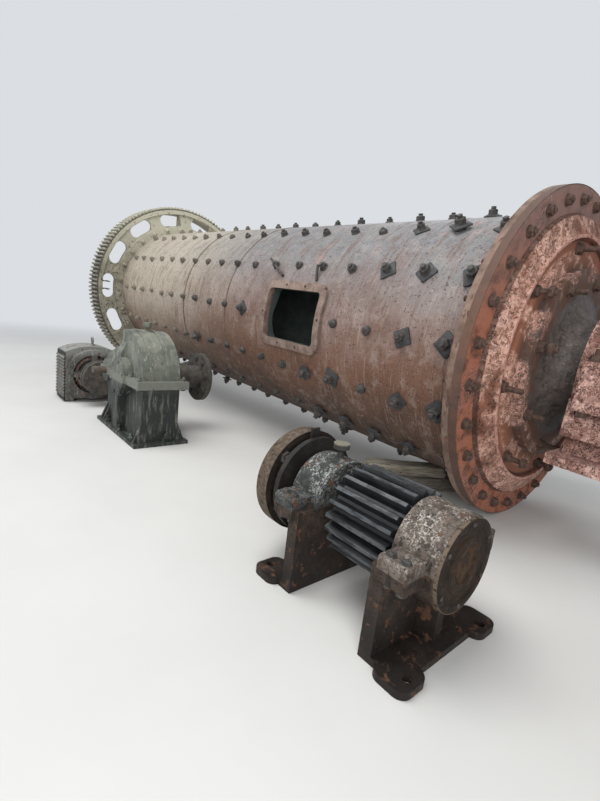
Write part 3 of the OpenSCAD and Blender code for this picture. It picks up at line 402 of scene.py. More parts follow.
def gear_finish():
    """Old grease and dust, paler above as a painted highlight, with dark roots between the teeth."""
    look = Finish("gear_dust_and_highlight")
    drum = look.drum_point()
    look.ground((122, 119, 106), (156, 152, 136), 0.12, 0.85)
    look.coat(look.spots(0.55, 0.62, 0.03, 7), (68, 62, 52), 0.8)
    # Painted highlight: the top of the gear is paler.
    look.coat(look.step(drum.up, 0.1, 1.1), (186, 183, 166), 0.85)
    look.coat(look.spots(0.58, 0.63, 0.05, 8), (104, 84, 66), 0.85, share=0.7)
    rise = (GEAR_ROOT_R - 0.0055, GEAR_ROOT_R - 0.0035)
    roots = look.between(drum.radius, rise, (GEAR_ROOT_R + 0.0065, GEAR_ROOT_R + 0.0295))
    look.coat(roots, (56, 52, 44), 0.6, share=0.8)
    look.raise_by(look.noise(0.015, 6, rough=0.7), 0.0012)
    return look.done()


def stand_extra(patches, pale):
    """Oil soaked low down, with pale crusts on top as far as patches goes."""
    def paint(look):
        low = look.inverse(look.above(0.05, 0.36))
        oil = look.where(low, look.spots(0.34, 0.58, 0.12, 6))
        look.coat(oil, (33, 29, 27), 0.5)
        drips = look.spots(0.56, 0.66, 0.03, 5, stretch=(1, 1, 7))
        look.coat(drips, (40, 35, 32), 0.55)
        crust = look.spots(0.5, 0.56, 0.015, 10, rough=0.8, warp=0.9)
        spread = look.spots(0.42, 0.52, 0.1, 5)
        high = look.where(look.above(0.34, 0.52), patches)
        look.coat(look.where(high, crust, spread), pale, 0.85, 0.0006)
        look.coat(look.spots(0.57, 0.63, 0.05, 9), (98, 70, 54), 0.85, share=0.75)
        look.coat(look.spots(0.6, 0.66, 0.011, 6), (30, 27, 25), 0.7, -0.0008)
        look.raise_by(look.noise(0.02, 8, rough=0.75), 0.0026)
    return paint


def cover_finish():
    """Turned cover, its dark ground darkened further as painted shade, with fine lathe rings, orange-brown
    rust and a painted sheen in the middle, and a rubbed edge.
    """
    look = Finish("turned_cover", gloss=0.15)
    radius = look.stand_radius()
    # Dark brown ground, darkened further as painted shade.
    look.ground((26, 21, 17), (46, 35, 27), 0.04, 0.7)
    # Orange-brown rust in the middle, partly a painted sheen.
    middle = look.where(look.below(radius, 0.05, 0.1), look.spots(0.4, 0.6, 0.03, 6))
    look.coat(middle, (76, 52, 33), 0.75)
    rings = look.noise(0.004, 2, point=look.joined(radius, 0.0, 0.0))
    look.coat(look.step(rings, 0.48, 0.64), (74, 58, 44), 0.6, share=0.35)
    outside = look.step(radius, COVER_R - 0.001, COVER_R + 0.001)
    look.coat(look.where(outside, look.spots(0.35, 0.5, 0.03)), (120, 106, 92), 0.7, share=0.7)
    look.coat(look.spots(0.56, 0.64, 0.03, 7), (48, 38, 32), 0.55)
    look.raise_by(rings, 0.0004)
    look.raise_by(look.noise(0.01, 6), 0.0006)
    return look.done()


def pinion_finish():
    """Greasy tooth steel, wiped brighter along the tips, with painted highlights on the tips and in streaks
    along the teeth.
    """
    look = Finish("greasy_teeth", metal=0.1, gloss=0.4)
    tips = look.step(look.stand_radius(), PINION_TIP_R - 0.007, PINION_TIP_R - 0.0004)
    look.ground((17, 19, 20), (30, 32, 34), 0.05, 0.42)
    # Tips wiped bright, partly a painted highlight along their edges.
    wiped_tips_and_highlight = look.where(tips, look.spots(0.4, 0.58, 0.02, 6, stretch=(4, 1, 1)))
    look.coat(wiped_tips_and_highlight, (82, 87, 91), 0.4, share=0.7)
    # Painted highlight: pale bluish streaks along the teeth.
    along = look.spots(0.54, 0.68, 0.006, 4, stretch=(30, 1, 1))
    look.coat(along, (66, 70, 74), 0.4, share=0.38)
    look.coat(look.spots(0.6, 0.68, 0.035, 7), (24, 24, 25), 0.28, 0.0006)
    look.raise_by(look.noise(0.008, 5), 0.0004)
    return look.done()


def rim_finish():
    """Rubbed bare round the rim, dark brown with old oil on the faces."""
    look = Finish("coupling_rim", gloss=0.2)
    outside = look.step(look.stand_radius(), DISC_R - 0.0014, DISC_R - 0.0006)
    look.ground((29, 25, 22), (50, 42, 36), 0.06, 0.7)
    rim = look.where(outside, look.spots(0.3, 0.5, 0.03, 7))
    look.coat(rim, (84, 72, 61), 0.75)
    look.coat(look.where(rim, look.spots(0.5, 0.6, 0.02, 8)), (103, 91, 80), 0.8)
    look.coat(look.spots(0.6, 0.66, 0.012, 6), (56, 42, 34), 0.85, -0.0005)
    look.raise_by(look.noise(0.01, 6, rough=0.7), 0.0008)
    return look.done()


def reducer_finish():
    """Faded green-grey paint, paler on top and along the split flange, and darker in streaks below."""
    look = Finish("faded_green")
    look.ground((86, 91, 84), (118, 122, 112), 0.14, 0.6)
    top = look.where(look.above(SPLIT_Z, 0.85), look.spots(0.4, 0.6, 0.09, 7))
    look.coat(top, (142, 144, 131), 0.65, share=0.75)
    wash = look.spots(0.58, 0.68, 0.022, 6, stretch=(1, 1, 8))
    look.coat(look.where(wash, look.above(0.3, 0.6)), (176, 174, 157), 0.7)
    low = look.inverse(look.where(look.above(0.4, 0.56), 0.75))
    shifted = look.vector("ADD", look.point, (4, 2, 1))
    # Darker streaks towards the bottom.
    low_dark_streaks = look.spots(0.28, 0.5, 0.03, 6, stretch=(1, 1, 5), point=shifted)
    look.coat(look.where(low, low_dark_streaks), (34, 38, 37), 0.6)
    x, y, z = look.parts(look.point)
    lip = look.below(look.away(z, SPLIT_Z), SPLIT_T - 0.002, SPLIT_T + 0.004)
    middle = REDUCER_Y + MILL_Y
    out = look.step(look.away(y, middle), CASE_HALF_W + 0.002, CASE_HALF_W + 0.008)
    front_x = CASE_FRONT_X + MILL_X
    front = look.step(x, front_x - 0.023, front_x - 0.003)
    look.coat(look.where(lip, look.math("MAXIMUM", out, front)), (120, 122, 113), 0.65, share=0.7)
    look.coat(look.spots(0.63, 0.66, 0.03, 9), (86, 66, 52), 0.85, -0.0003)
    look.raise_by(look.noise(0.012, 5), 0.0006)
    return look.done()


def motor_extra(look):
    """Dust on top, pale runs and rust spots, and dirt low down."""
    look.coat(look.above(0.44, 0.56), (136, 138, 134), 0.6, share=0.75)
    look.coat(look.spots(0.58, 0.68, 0.02, 6, stretch=(1, 1, 7)), (160, 160, 152), 0.65)
    look.coat(look.spots(0.58, 0.62, 0.06, 8), (104, 76, 62), 0.85)
    low = look.inverse(look.above(0.02, 0.3))
    look.coat(look.where(low, look.spots(0.4, 0.6, 0.07)), (66, 64, 58), 0.75)


def cup_lid(look):
    """A pale worn top on the grease cup."""
    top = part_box("grease_cup")[1][2]
    look.coat(look.above(top - 0.008, top - 0.003), (120, 117, 104), 0.75)


def bolt_dust(look):
    """Pale dust on the drum's upper bolts towards the girth gear."""
    near_gear = look.below(look.parts(look.point)[0], -1.9, 0.3)
    lying = look.where(look.above(0.5, 0.9), look.spots(0.25, 0.45, 0.02))
    look.coat(look.where(near_gear, lying), (142, 134, 119), 0.85, share=0.7)


def bearing_scale(look):
    scale_coats(look, 1.0, (190, 150, 139), 0.024, 0.5)


def timber_finish(name, dark, light):
    """Grey weathered wood, with its grain and cracks along the timbers."""
    look = Finish(name)
    turned = look.fed("ShaderNodeMapping", look.point)
    turned.inputs["Rotation"].default_value = (0, 0, radians(32))
    grain = turned.outputs[0]
    fibres = look.spots(0.36, 0.64, 0.008, 6, stretch=(1, 22, 1), point=grain)
    look.colour = look.mixed(fibres, dark, light)
    look.rough = look.added(0.78, look.noise(0.05), 0.15)
    grey = look.spots(0.55, 0.7, 0.09, 6, stretch=(1, 3, 1), point=grain)
    look.coat(grey, (112, 106, 96), 0.9)
    shifted = look.vector("ADD", grain, (5, 0, 0))
    cracks = look.spots(0.62, 0.68, 0.006, 3, stretch=(1, 40, 2), point=shifted)
    look.coat(cracks, (58, 50, 40), 0.95, -0.0012)
    look.raise_by(look.noise(0.007, 5, stretch=(1, 20, 1), point=grain), 0.0016)
    return look.done()


SHELL = shell_finish()
HEAD = head_finish()
NECK = neck_finish()
FLANGE = flange_finish()
GEAR = gear_finish()
FRAME = rusty("manhole_plate", (106, 89, 80), (138, 120, 110), (78, 60, 51), 0.07)
LINER = liner_finish()
BEARING = rusty("scaling_bearing", (92, 64, 56), (128, 88, 78), (62, 44, 38), 0.09, extra=bearing_scale)
WHITE_METAL = rusty("white_metal", (150, 142, 120), (178, 170, 146), (110, 100, 84), 0.05, rough=0.45)
STAND = rusty("stand_casting", (42, 36, 32), (70, 59, 52), (30, 26, 24), 0.06,
              rough=0.72, extra=stand_extra(0.5, (120, 112, 104)), gloss=0.2)
NEAR_CAP = rusty("near_cap_crust", (62, 54, 48), (106, 96, 88), (40, 35, 31), 0.04,
                 rough=0.72, extra=stand_extra(1.0, (184, 178, 170)), gloss=0.3)
FAR_CAP = rusty("far_cap_crust", (36, 38, 38), (66, 69, 68), (24, 25, 25), 0.04,
                rough=0.58, extra=stand_extra(1.0, (166, 170, 166)), gloss=0.3)
GREASE = rusty("grease_cup", (38, 38, 36), (62, 63, 60), (28, 27, 26), 0.03, rough=0.6, extra=cup_lid)
COVER = cover_finish()
PINION = pinion_finish()
SHAFT = rusty("shaft_film", (64, 56, 50), (96, 85, 76), (48, 40, 35), 0.05, 0.0003, 0.55)
RIM = rim_finish()
DARK_DISC = rusty("oiled_disc", (27, 25, 24), (44, 40, 37), (20, 19, 18), 0.07, rough=0.6, gloss=0.25)
COUPLING = rusty("worn_coupling", (52, 50, 46), (84, 80, 73), (60, 46, 38), 0.05, rough=0.65)
REDUCER = reducer_finish()
MOTOR = rusty("motor_paint", (84, 84, 80), (116, 115, 110), (58, 55, 51), 0.1, 0.0004, 0.6, motor_extra)
MOTOR_DARK = rusty("motor_frame", (66, 67, 64), (98, 98, 93), (44, 43, 40), 0.06, 0.0005, 0.65, motor_extra)
TOP_WOOD = timber_finish("pale_timber", (116, 109, 97), (172, 165, 150))
LOW_WOOD = timber_finish("grey_timber", (84, 80, 74), (128, 122, 113))
BOLT = rusty("old_bolts", (44, 44, 44), (74, 72, 70), (84, 62, 50), 0.025, 0.0004, 0.6, bolt_dust)
WASHER = rusty("dark_washers", (38, 39, 40), (64, 66, 68), (62, 48, 41), 0.04, 0.0005, 0.62)
RUST_BOLT = rusty("rusted_studs", (64, 50, 44), (100, 78, 68), (46, 36, 32), 0.02, 0.0005, 0.8)
WELD = rusty("weld_beads", (82, 68, 61), (112, 96, 88), (64, 50, 43), 0.03, 0.0008)
MOTOR_GAPS = rusty("motor_gaps", (24, 25, 25), (38, 39, 38), (52, 44, 38), 0.05)
WINDING = rusty("motor_windings", (138, 104, 92), (196, 180, 168), (72, 50, 44), 0.02, 0.0012)

NODE_FINISH = {
    SHELL: ("shell_course_1", "shell_course_2", "shell_course_3_before_manhole",
            "shell_course_3_beside_manhole", "shell_course_3_after_manhole", "shell_course_4"),
    FRAME: ("manhole_frame",),
    LINER: ("shell_liner",),
    FLANGE: ("discharge_flange",),
    HEAD: ("feed_head", "discharge_head"),
    NECK: ("feed_trunnion", "discharge_trunnion"),
    GEAR: ("girth_gear_camera_half", "girth_gear_far_half", "gear_end_flange"),
    BEARING: ("feed_bearing_base", "feed_bearing_cap", "discharge_bearing_base", "discharge_bearing_cap"),
    WHITE_METAL: ("feed_bearing_bush", "discharge_bearing_bush"),
    STAND: ("pinion_pedestal_near", "pinion_pedestal_far"),
    GREASE: ("grease_cup",),
    NEAR_CAP: ("pinion_cap_near",),
    FAR_CAP: ("pinion_cap_far",),
    COVER: ("pinion_end_cover",),
    PINION: ("pinion",),
    SHAFT: ("pinion_shaft", "low_speed_shaft", "high_speed_shaft", "motor_shaft"),
    DARK_DISC: ("coupling_plate",),
    COUPLING: ("output_coupling", "motor_coupling"),
    RIM: ("coupling_disc",),
    REDUCER: ("reducer_case", "reducer_cover", "reducer_end_covers"),
    MOTOR: ("motor_body",),
    MOTOR_GAPS: ("motor_side_covers",),
    MOTOR_DARK: ("motor_end_bell",),
}


def dress_nodes():
    for material, names in NODE_FINISH.items():
        for name in names:
            for slot in bpy.data.objects[name].material_slots:
                slot.material = material


def spun(at, angle):
    return at @ Matrix.Rotation(angle, 4, "Z")


def raised(at, height):
    return at @ Matrix.Translation((0, 0, height))


def upright(x, y, z, spin=0.0):
    """A frame at a place whose Z looks up."""
    return spun(Matrix.Translation((x, y, z)), spin)


def facing(place, direction, spin=0.0):
    """A frame at place whose Z looks along direction."""
    turn = Vector(direction).to_track_quat("Z", "Y").to_matrix().to_4x4()
    return spun(Matrix.Translation(place) @ turn, spin)


def on_shell(x, angle, radius=SHELL_R, spin=0.0):
    """A frame on the drum's skin whose Z looks straight out of it."""
    out = Vector((0, -cos(angle), sin(angle)))
    return facing(Vector((x, 0, 0)) + out * radius, out, spin)


def on_face(x, angle, radius, spin=0.0):
    """A frame on a flat face across the X axis whose Z looks along that axis."""
    place = Vector((x, -radius * cos(angle), radius * sin(angle)))
    return spun(Matrix.Translation(place) @ Matrix.Rotation(pi / 2, 4, "Y"), spin)


class Piece:
    """One object, gathered from turned, flat and swept forms that share a finish."""

    def __init__(self, name, body, slot, material, base=YARD):
        self.name, self.body, self.slot, self.material, self.base = name, body, slot, material, base
        self.mesh = bmesh.new()

    def skin(self, low, high):
        """Faces between two rings of vertices."""
        for i in range(len(low)):
            j = (i + 1) % len(low)
            self.mesh.faces.new((low[i], low[j], high[j], high[i]))

    def vertices(self, rings):
        return [[self.mesh.verts.new(p) for p in ring] for ring in rings]

    def rings(self, rings):
        """Skins a stack of point rings and closes both ends."""
        rows = self.vertices(rings)
        for low, high in zip(rows, rows[1:]):
            self.skin(low, high)
        self.mesh.faces.new(list(reversed(rows[0])))
        self.mesh.faces.new(rows[-1])

    def layers(self, at, shapes):
        """A closed form through flat outlines, each given with its height on the frame at."""
        frame_at = self.base @ at
        self.rings([[frame_at @ Vector((x, y, z)) for x, y in outline] for outline, z in shapes])

    def turned(self, profile, at, sides=20):
        """A form turned about the Z of at, from radius and height pairs."""
        spots = [(cos(k * tau / sides), sin(k * tau / sides)) for k in range(sides)]
        self.layers(at, [([(r * c, r * s) for c, s in spots], z) for r, z in profile])

    def block(self, size, at, edge=0.002):
        """A block with eased edges, standing on the XY plane of at."""
        x, y, z = size[0] / 2, size[1] / 2, size[2]
        outline = [(x - edge, -y), (x, -y + edge), (x, y - edge), (x - edge, y),
                   (edge - x, y), (-x, y - edge), (-x, edge - y), (edge - x, -y)]
        inset = [(px * (1 - edge / x), py * (1 - edge / y)) for px, py in outline]
        self.layers(at, [(inset, 0), (outline, edge), (outline, z - edge), (inset, z)])

    def swept(self, path, radius, sides=10, closed=False):
        """A round bar along a path."""
        points = [self.base @ Vector(p) for p in path]
        count = len(points)
        rings = []
        for i, point in enumerate(points):
            before = points[i - 1] if closed or i else point
            after = points[(i + 1) % count] if closed or i < count - 1 else point
            turn = (after - before).to_track_quat("Z", "X")
            rings.append([point + turn @ Vector((radius * cos(a), radius * sin(a), 0))
                          for a in (k * tau / sides for k in range(sides))])
        self.rings(rings + rings[:1] if closed else rings)

    def nut(self, at, r, height=None, spin=0.0):
        """A six-sided nut or bolt head for a bolt of radius r."""
        corner, top = 1.85 * r, height or 1.6 * r
        profile = [(corner * 0.93, 0), (corner, 0.05 * top), (corner, 0.82 * top), (corner * 0.84, top)]
        self.turned(profile, spun(at, spin), 6)

    def washer(self, at, radius, side, top, ease, sides=20):
        """A round washer with an eased edge above its side; gives the frame that its nut sits on."""
        self.turned([(radius, 0), (radius, side), (radius - ease, top)], at, sides)
        return raised(at, top - 0.001)

    def stud(self, at, r, start, end, threads=0):
        """The end of a bolt, with ridges where threads are asked for."""
        profile = [(r, start)]
        run = (end - start - 0.2 * r) / max(threads, 1)
        for k in range(threads):
            z = start + k * run
            profile += [(r * 0.86, z + run * 0.35), (r, z + run * 0.85)]
        profile += [(r, end - 0.2 * r), (0.8 * r, end)]
        self.turned(profile, at, 12)

    def done(self, smooth=35):
        data = bpy.data.meshes.new(self.name)
        bmesh.ops.recalc_face_normals(self.mesh, faces=self.mesh.faces)
        self.mesh.to_mesh(data)
        self.mesh.free()
        data.polygons.foreach_set("use_smooth", [True] * len(data.polygons))
        data.set_sharp_from_angle(angle=radians(smooth))
        data.materials.append(self.material)
        piece = bpy.data.objects.new(self.name, data)
        bpy.context.scene.collection.objects.link(piece)
        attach(piece, self.body)
        return piece


def has_square_washer(row, k, chance):
    """Square washers sit near the discharge end, and here and there along the rows."""
    if row in (1, 2):
        return k > 14
    if row in (0, 3):
        return k > 15 or (row, k) == (0, 10)
    if row in (12, 13):
        return k > 12 and chance < 0.7 or chance < 0.06
    return chance < 0.1


def cupped_washer(piece, at, half, lift):
    """A square plate washer whose corners bend down towards the shell."""
    bends = ((1.0, 0), (0.98, 0.008), (0.6, 0.016), (0.33, 0.022), (0.3, 0.01))
    corners = [(1, 0.86), (0.86, 1), (0, 0.97), (-0.86, 1), (-1, 0.86), (-0.97, 0),
               (-1, -0.86), (-0.86, -1), (0, -0.97), (0.86, -1), (1, -0.86), (0.97, 0)]
    piece.layers(at, [([(half * share * x, half * share * y) for x, y in corners], lift + z)
                      for share, z in bends])


def plated_bolt(plain, square, at, spin, grow, draw):
    """A bolt with a square washer on a short collar."""
    r = 0.018 * grow
    lift = draw.choice((0.003, 0.006, 0.026))
    flat = spun(at, pi / 4 - spin + draw.uniform(-0.4, 0.4))
    square.turned([(0.03, 0), (0.03, lift + 0.008)], at, 16)
    cupped_washer(square, flat, 0.056 * grow, lift)
    top = raised(at, lift + 0.014)
    plain.nut(plain.washer(top, 0.034, 0.007, 0.009, 0.003, 18), r)
    plain.stud(top, r, 0.02, 0.056 * grow, 4)


def liner_bolts(draw):
    """Rows of bolts that hold the liners: plain nuts, domed heads, and some square washers."""
    plain = Piece("liner_bolts", "mill", "neck_iron", BOLT, DRUM)
    square = Piece("liner_washers", "mill", "neck_iron", WASHER, DRUM)
    clear_x, clear_y = (half + DOOR_RIM + 0.05 for half in DOOR_HALF)
    for row in range(ROWS):
        for k in range(BOLTS_A_ROW):
            x = BOLT_X + k * BOLT_PITCH + draw.uniform(-0.012, 0.012)
            turn = ROW_ANGLE + row * ROW_STEP + draw.uniform(-0.012, 0.012)
            chance, spin, grow = draw.random(), draw.uniform(0, tau), draw.uniform(0.9, 1.12)
            by_door = abs(x - DOOR_X) < clear_x and abs(turn - DOOR_ANGLE) < clear_y / SHELL_R
            by_timber = (row, k) == (11, 16)
            if by_door or by_timber:
                continue
            at = on_shell(x, turn, SHELL_R - 0.002, spin)
            r = 0.018 * grow
            if has_square_washer(row, k, chance):
                plated_bolt(plain, square, at, spin, grow, draw)
            elif chance < 0.62:
                plain.turned([(0.035, 0), (0.036, 0.007), (0.032, 0.011)], at)
                plain.nut(raised(at, 0.01), r * 0.94)
                plain.stud(at, r * 0.94, 0.012, 0.052 * grow, 3)
            else:
                plain.turned([(0.033, 0), (0.033, 0.016), (0.027, 0.027), (0.016, 0.033)], at, 14)
                plain.stud(at, r * 0.8, 0.02, 0.042 * grow)
    plain.done()
    square.done()


def head_bolts(base, name, material, radius, first, inner_face, outer_face, draw):
    """Bolts through the shell flange and the head flange, heads inside and nuts outside."""
    piece = Piece(name, "mill", "flange_rust", material, base)
    r, count = 0.0165, 28
    for k in range(count):
        angle = radians(first) + k * tau / count
        outer = on_face(outer_face, angle, radius, draw.uniform(0, 1))
        piece.nut(piece.washer(outer, 0.034, 0.005, 0.006, 0.003), r)
        piece.stud(outer, r, 0.006, draw.uniform(0.036, 0.05), 3)
        inner = on_face(inner_face, angle, radius) @ BACK
        piece.nut(inner, r, 0.022, draw.uniform(0, 1))
        piece.stud(inner, r, 0.012, draw.uniform(0.045, 0.062), 4)
    piece.done()


def end_studs(base, name, offset, draw):
    """Long studs with their nuts: one ring on the head and one on the trunnion's flange."""
    piece = Piece(name, "mill", "flange_rust", RUST_BOLT, base)
    for radius, face, first in ((0.715, DISH_FACE, -11.4), (0.53, NECK_FACE, 11.1)):
        for k in range(8):
            at = on_face(face - offset, radians(first + 45 * k), radius, draw.uniform(0, 1))
            lean = at
            for axis in "XY":
                lean = lean @ Matrix.Rotation(draw.uniform(-0.06, 0.06), 4, axis)
            reach = draw.uniform(0.09, 0.15)
            piece.nut(piece.washer(at, 0.04, 0.006, 0.008, 0.004), 0.018)
            piece.stud(lean, 0.017, 0.0, reach, 12)
            if draw.random() < 0.5:
                piece.nut(raised(lean, reach - 0.05), 0.018)
    piece.done()


def weld_beads(draw):
    """Rippled beads where the shell's courses meet."""
    sides, foot = 360, -0.002
    for number, (x, material) in enumerate(zip(SEAMS, (WELD, WELD, SHELL)), 1):
        piece = Piece("shell_weld_%d" % number, "mill", "shell_rust", material, DRUM)
        rings = [[] for _ in range(5)]
        for k in range(sides):
            angle = k * tau / sides
            shift = draw.uniform(-0.0015, 0.0015)
            top = 0.0034 + 0.0008 * (k % 2)
            section = ((-0.013, foot), (-0.009, 0.6 * top), (0, top), (0.009, 0.6 * top), (0.013, foot))
            for ring, (dx, dr) in zip(rings, section):
                out = SHELL_R + dr
                ring.append(DRUM @ Vector((x + dx + shift, -out * cos(angle), out * sin(angle))))
        rows = piece.vertices(rings)
        for low, high in zip(rows, rows[1:] + rows[:1]):
            piece.skin(low, high)
        piece.done(60)


def manhole_rods():
    """Two short rods left on the shell above the manhole, each from a place and angle to another."""
    piece = Piece("manhole_rods", "mill", "neck_iron", BOLT, DRUM)
    for x0, a0, x1, a1 in ((3.52, 30.5, 3.76, 22.2), (4.16, 28.0, 4.19, 21.0)):
        path = []
        for k in range(9):
            t = k / 8
            angle = radians(a0 + (a1 - a0) * t)
            out = SHELL_R + 0.04 - 0.03 * t
            path.append((x0 + (x1 - x0) * t, -out * cos(angle), out * sin(angle)))
        piece.swept(path, 0.011)
    piece.done()


def gear_bolts(draw):
    """Bolts that join the two halves of the girth gear."""
    piece = Piece("girth_gear_bolts", "mill", "gear_iron", GEAR, DRUM)
    for side in (-1, 1):
        for radius in (1.075, 1.14):
            for x in (-0.13, -0.21):
                for face in (-1, 1):
                    at = facing((x, side * radius, face * 0.046), (0, 0, face), draw.uniform(0, 1))
                    piece.nut(at, 0.015, 0.013)
                    piece.stud(at, 0.013, 0.006, 0.019, 0)
    piece.done()


def bearing_bolts(base, body, name, offset):
    """Bolts through the ledges of a main bearing, at the quarter points of its length."""
    piece = Piece(name, body, "neck_iron", RUST_BOLT, base)
    for quarter in (0.25, 0.75):
        x = BEARING_X + quarter * BEARING_LEN - offset
        for side in (-1, 1):
            at = upright(x, side * LEDGE_Y, LEDGE_TOP)
            piece.nut(piece.washer(at, 0.042, 0.006, 0.008, 0.004), 0.019)
            piece.stud(at, 0.019, 0.01, 0.07, 6)
            piece.nut(upright(x, side * LEDGE_Y, LEDGE_FOOT) @ FLIP, 0.019)
    piece.done()


def stand_bolts(draw):
    """Bolts through the lugs of the pinion stand, and screws round its end cover."""
    piece = Piece("stand_bolts", "mill", "stand_iron", BOLT)
    for face, side in ((NEAR_HOUSING_X, 1), (FAR_HOUSING_X, -1)):
        for step in (0.06, 0.12):
            for y in (STAND_Y - LUG_Y, STAND_Y + LUG_Y):
                x = face + side * step
                top = upright(x, y, STAND_Z + LUG_HALF_T, draw.uniform(0, 1))
                piece.nut(piece.washer(top, 0.019, 0.003, 0.004, 0.002, 16), 0.009, 0.01)
                piece.stud(top, 0.006, 0.01, draw.uniform(0.015, 0.019), 0)
                piece.nut(upright(x, y, STAND_Z - LUG_HALF_T) @ FLIP, 0.011)
    for k in range(6):
        at = on_face(COVER_X, radians(30 + 60 * k), 0.16, draw.uniform(0, 1))
        piece.nut(upright(0, STAND_Y, STAND_Z) @ at, 0.005, 0.005)
    piece.done()


def coupling_bolts(draw):
    """The pins that carry the coupling's drive, and the loose bolt at its rim."""
    piece = Piece("coupling_bolts", "pinion_rotor", "coupling_rust", BOLT)
    hub = upright(0, STAND_Y, STAND_Z)
    for k in range(6):
        angle = radians(18 + 60 * k)
        piece.stud(hub @ on_face(DISC_X, angle, 0.175, draw.uniform(0, 1)), 0.02, 0.0, 0.036)
        piece.nut(hub @ on_face(PLATE_X, angle, 0.175, draw.uniform(0, 1)) @ BACK, 0.014, 0.012)
    loose = hub @ on_face(DISC_X, radians(41.6), 0.212)
    piece.nut(loose, 0.018)
    piece.stud(loose, 0.018, 0.0, 0.05, 5)
    piece.done()


def reducer_bolts(draw):
    """Bolts of the split flange and the end covers, the drain plug and the foundation bolts."""
    piece = Piece("reducer_bolts", "mill", "reducer_green", REDUCER)
    r = 0.011
    for x in (2.53, 2.75, 3.2, 3.4):
        for y in (REDUCER_Y - 0.185, REDUCER_Y + 0.185):
            at = upright(x, y, SPLIT_Z + SPLIT_T, draw.uniform(0, 1))
            piece.nut(at, r)
            piece.stud(at, r, 0.01, 0.034, 3)
            piece.nut(upright(x, y, SPLIT_Z - SPLIT_T) @ FLIP, r)
    covers = ((LOW_SHAFT_X, -1, 0.135, 6, 0.009), (HIGH_SHAFT_X, 1, 0.074, 4, 0.007))
    for x, face, radius, count, size in covers:
        for k in range(count):
            angle = radians(15) + k * tau / count
            height = SPLIT_Z + radius * sin(angle)
            place = (x + radius * cos(angle), REDUCER_Y + face * BOSS_FACE, height)
            piece.nut(facing(place, (0, face, 0), draw.uniform(0, 1)), size, size)
    plug_x = CASE_FRONT_X + DRAIN_T
    plug = facing((plug_x, REDUCER_Y + DRAIN_Y, DRAIN_Z), (1, 0, 0))
    piece.turned([(0.028, 0), (0.03, 0.004), (0.03, 0.012), (0.026, 0.014)], plug)
    piece.nut(raised(plug, 0.012), 0.012)
    for x in (3.02, 3.3, 2.7):
        at = upright(x, REDUCER_Y - 0.198, BASE_T)
        piece.nut(at, 0.014)
        piece.stud(at, 0.014, 0.01, 0.052, 4)
    piece.done()


def motor_louvres(draw):
    """Louvres on both sides of the motor, with a screw at each corner of their panel."""
    piece = Piece("motor_louvres", "mill", "motor_grey", MOTOR)
    for face in (-1, 1):
        y = MOTOR_Y + face * PANEL_FACE
        for k in range(13):
            at = Matrix.Translation((PANEL_X, y + face * 0.012, 0.055 + k * 0.034))
            piece.block((0.36, 0.006, 0.024), at @ Matrix.Rotation(face * radians(35), 4, "X"), 0.001)
        for x in (PANEL_X - 0.145, PANEL_X + 0.145):
            for z in (0.04, 0.49):
                piece.nut(facing((x, y, z), (0, face, 0), draw.uniform(0, 1)), 0.006, 0.006)
    piece.done()


def motor_eye():
    """The lifting eye on top of the motor."""
    piece = Piece("motor_eye", "mill", "motor_dark", MOTOR_DARK)
    foot = upright(EYE_X, EYE_Y, EYE_FOOT_Z)
    piece.turned([(0.03, 0), (0.03, 0.008), (0.014, 0.014), (0.013, 0.03)], foot)
    turns = [k * tau / 24 for k in range(24)]
    ring = [(EYE_X + 0.03 * sin(a), EYE_Y, EYE_MIDDLE_Z + 0.03 * cos(a)) for a in turns]
    piece.swept(ring, 0.009, closed=True)
    piece.done()


def motor_windings():
    """The ends of the coils, which show through the drive end frame."""
    piece = Piece("motor_windings", "mill", "motor_dark", WINDING)
    coils, steps = 30, 12
    for k in range(coils):
        path = []
        for j in range(steps + 1):
            t = j / steps
            angle = k * tau / coils + t * 0.62
            radius = 0.135 + 0.05 * t
            depth = COIL_X + 0.062 * sin(pi * t)
            path.append((depth, MOTOR_Y + radius * cos(angle), MOTOR_Z + radius * sin(angle)))
        piece.swept(path, 0.0085, 8)
    piece.done()


def motor_bolts(draw):
    """Screws of the motor's end frame and hub, and the pins of its coupling."""
    axis = upright(0, MOTOR_Y, MOTOR_Z)
    screws = Piece("motor_screws", "mill", "motor_dark", MOTOR_DARK)
    for count, first, radius, size in ((8, 22.5, 0.239, 0.009), (4, 45, 0.072, 0.006)):
        for k in range(count):
            angle = radians(first + 360 / count * k)
            screws.nut(axis @ on_face(BELL_X, angle, radius, draw.uniform(0, 1)), size, size)
    screws.done()
    pins = Piece("motor_coupling_pins", "motor_rotor", "coupling_rust", BOLT)
    for k in range(6):
        at = axis @ on_face(MOTOR_END_X, radians(60 * k), 0.135, draw.uniform(0, 1))
        pins.nut(at, 0.012, 0.014)
        pins.stud(at, 0.012, 0.006, 0.03, 3)
    pins.done()


def output_bolts(draw):
    """Bolts through the reducer's output coupling, a head on each side."""
    piece = Piece("output_coupling_bolts", "output_rotor", "coupling_rust", BOLT)
    end = REDUCER_Y + OUTPUT_END
    for k in range(8):
        angle = radians(10 + 45 * k)
        x, z = LOW_SHAFT_X + 0.175 * cos(angle), SPLIT_Z + 0.175 * sin(angle)
        for y, face in ((end, 1), (end - OUTPUT_T, -1)):
            piece.nut(facing((x, y, z), (0, face, 0), draw.uniform(0, 1)), 0.014, 0.016)
    piece.done()


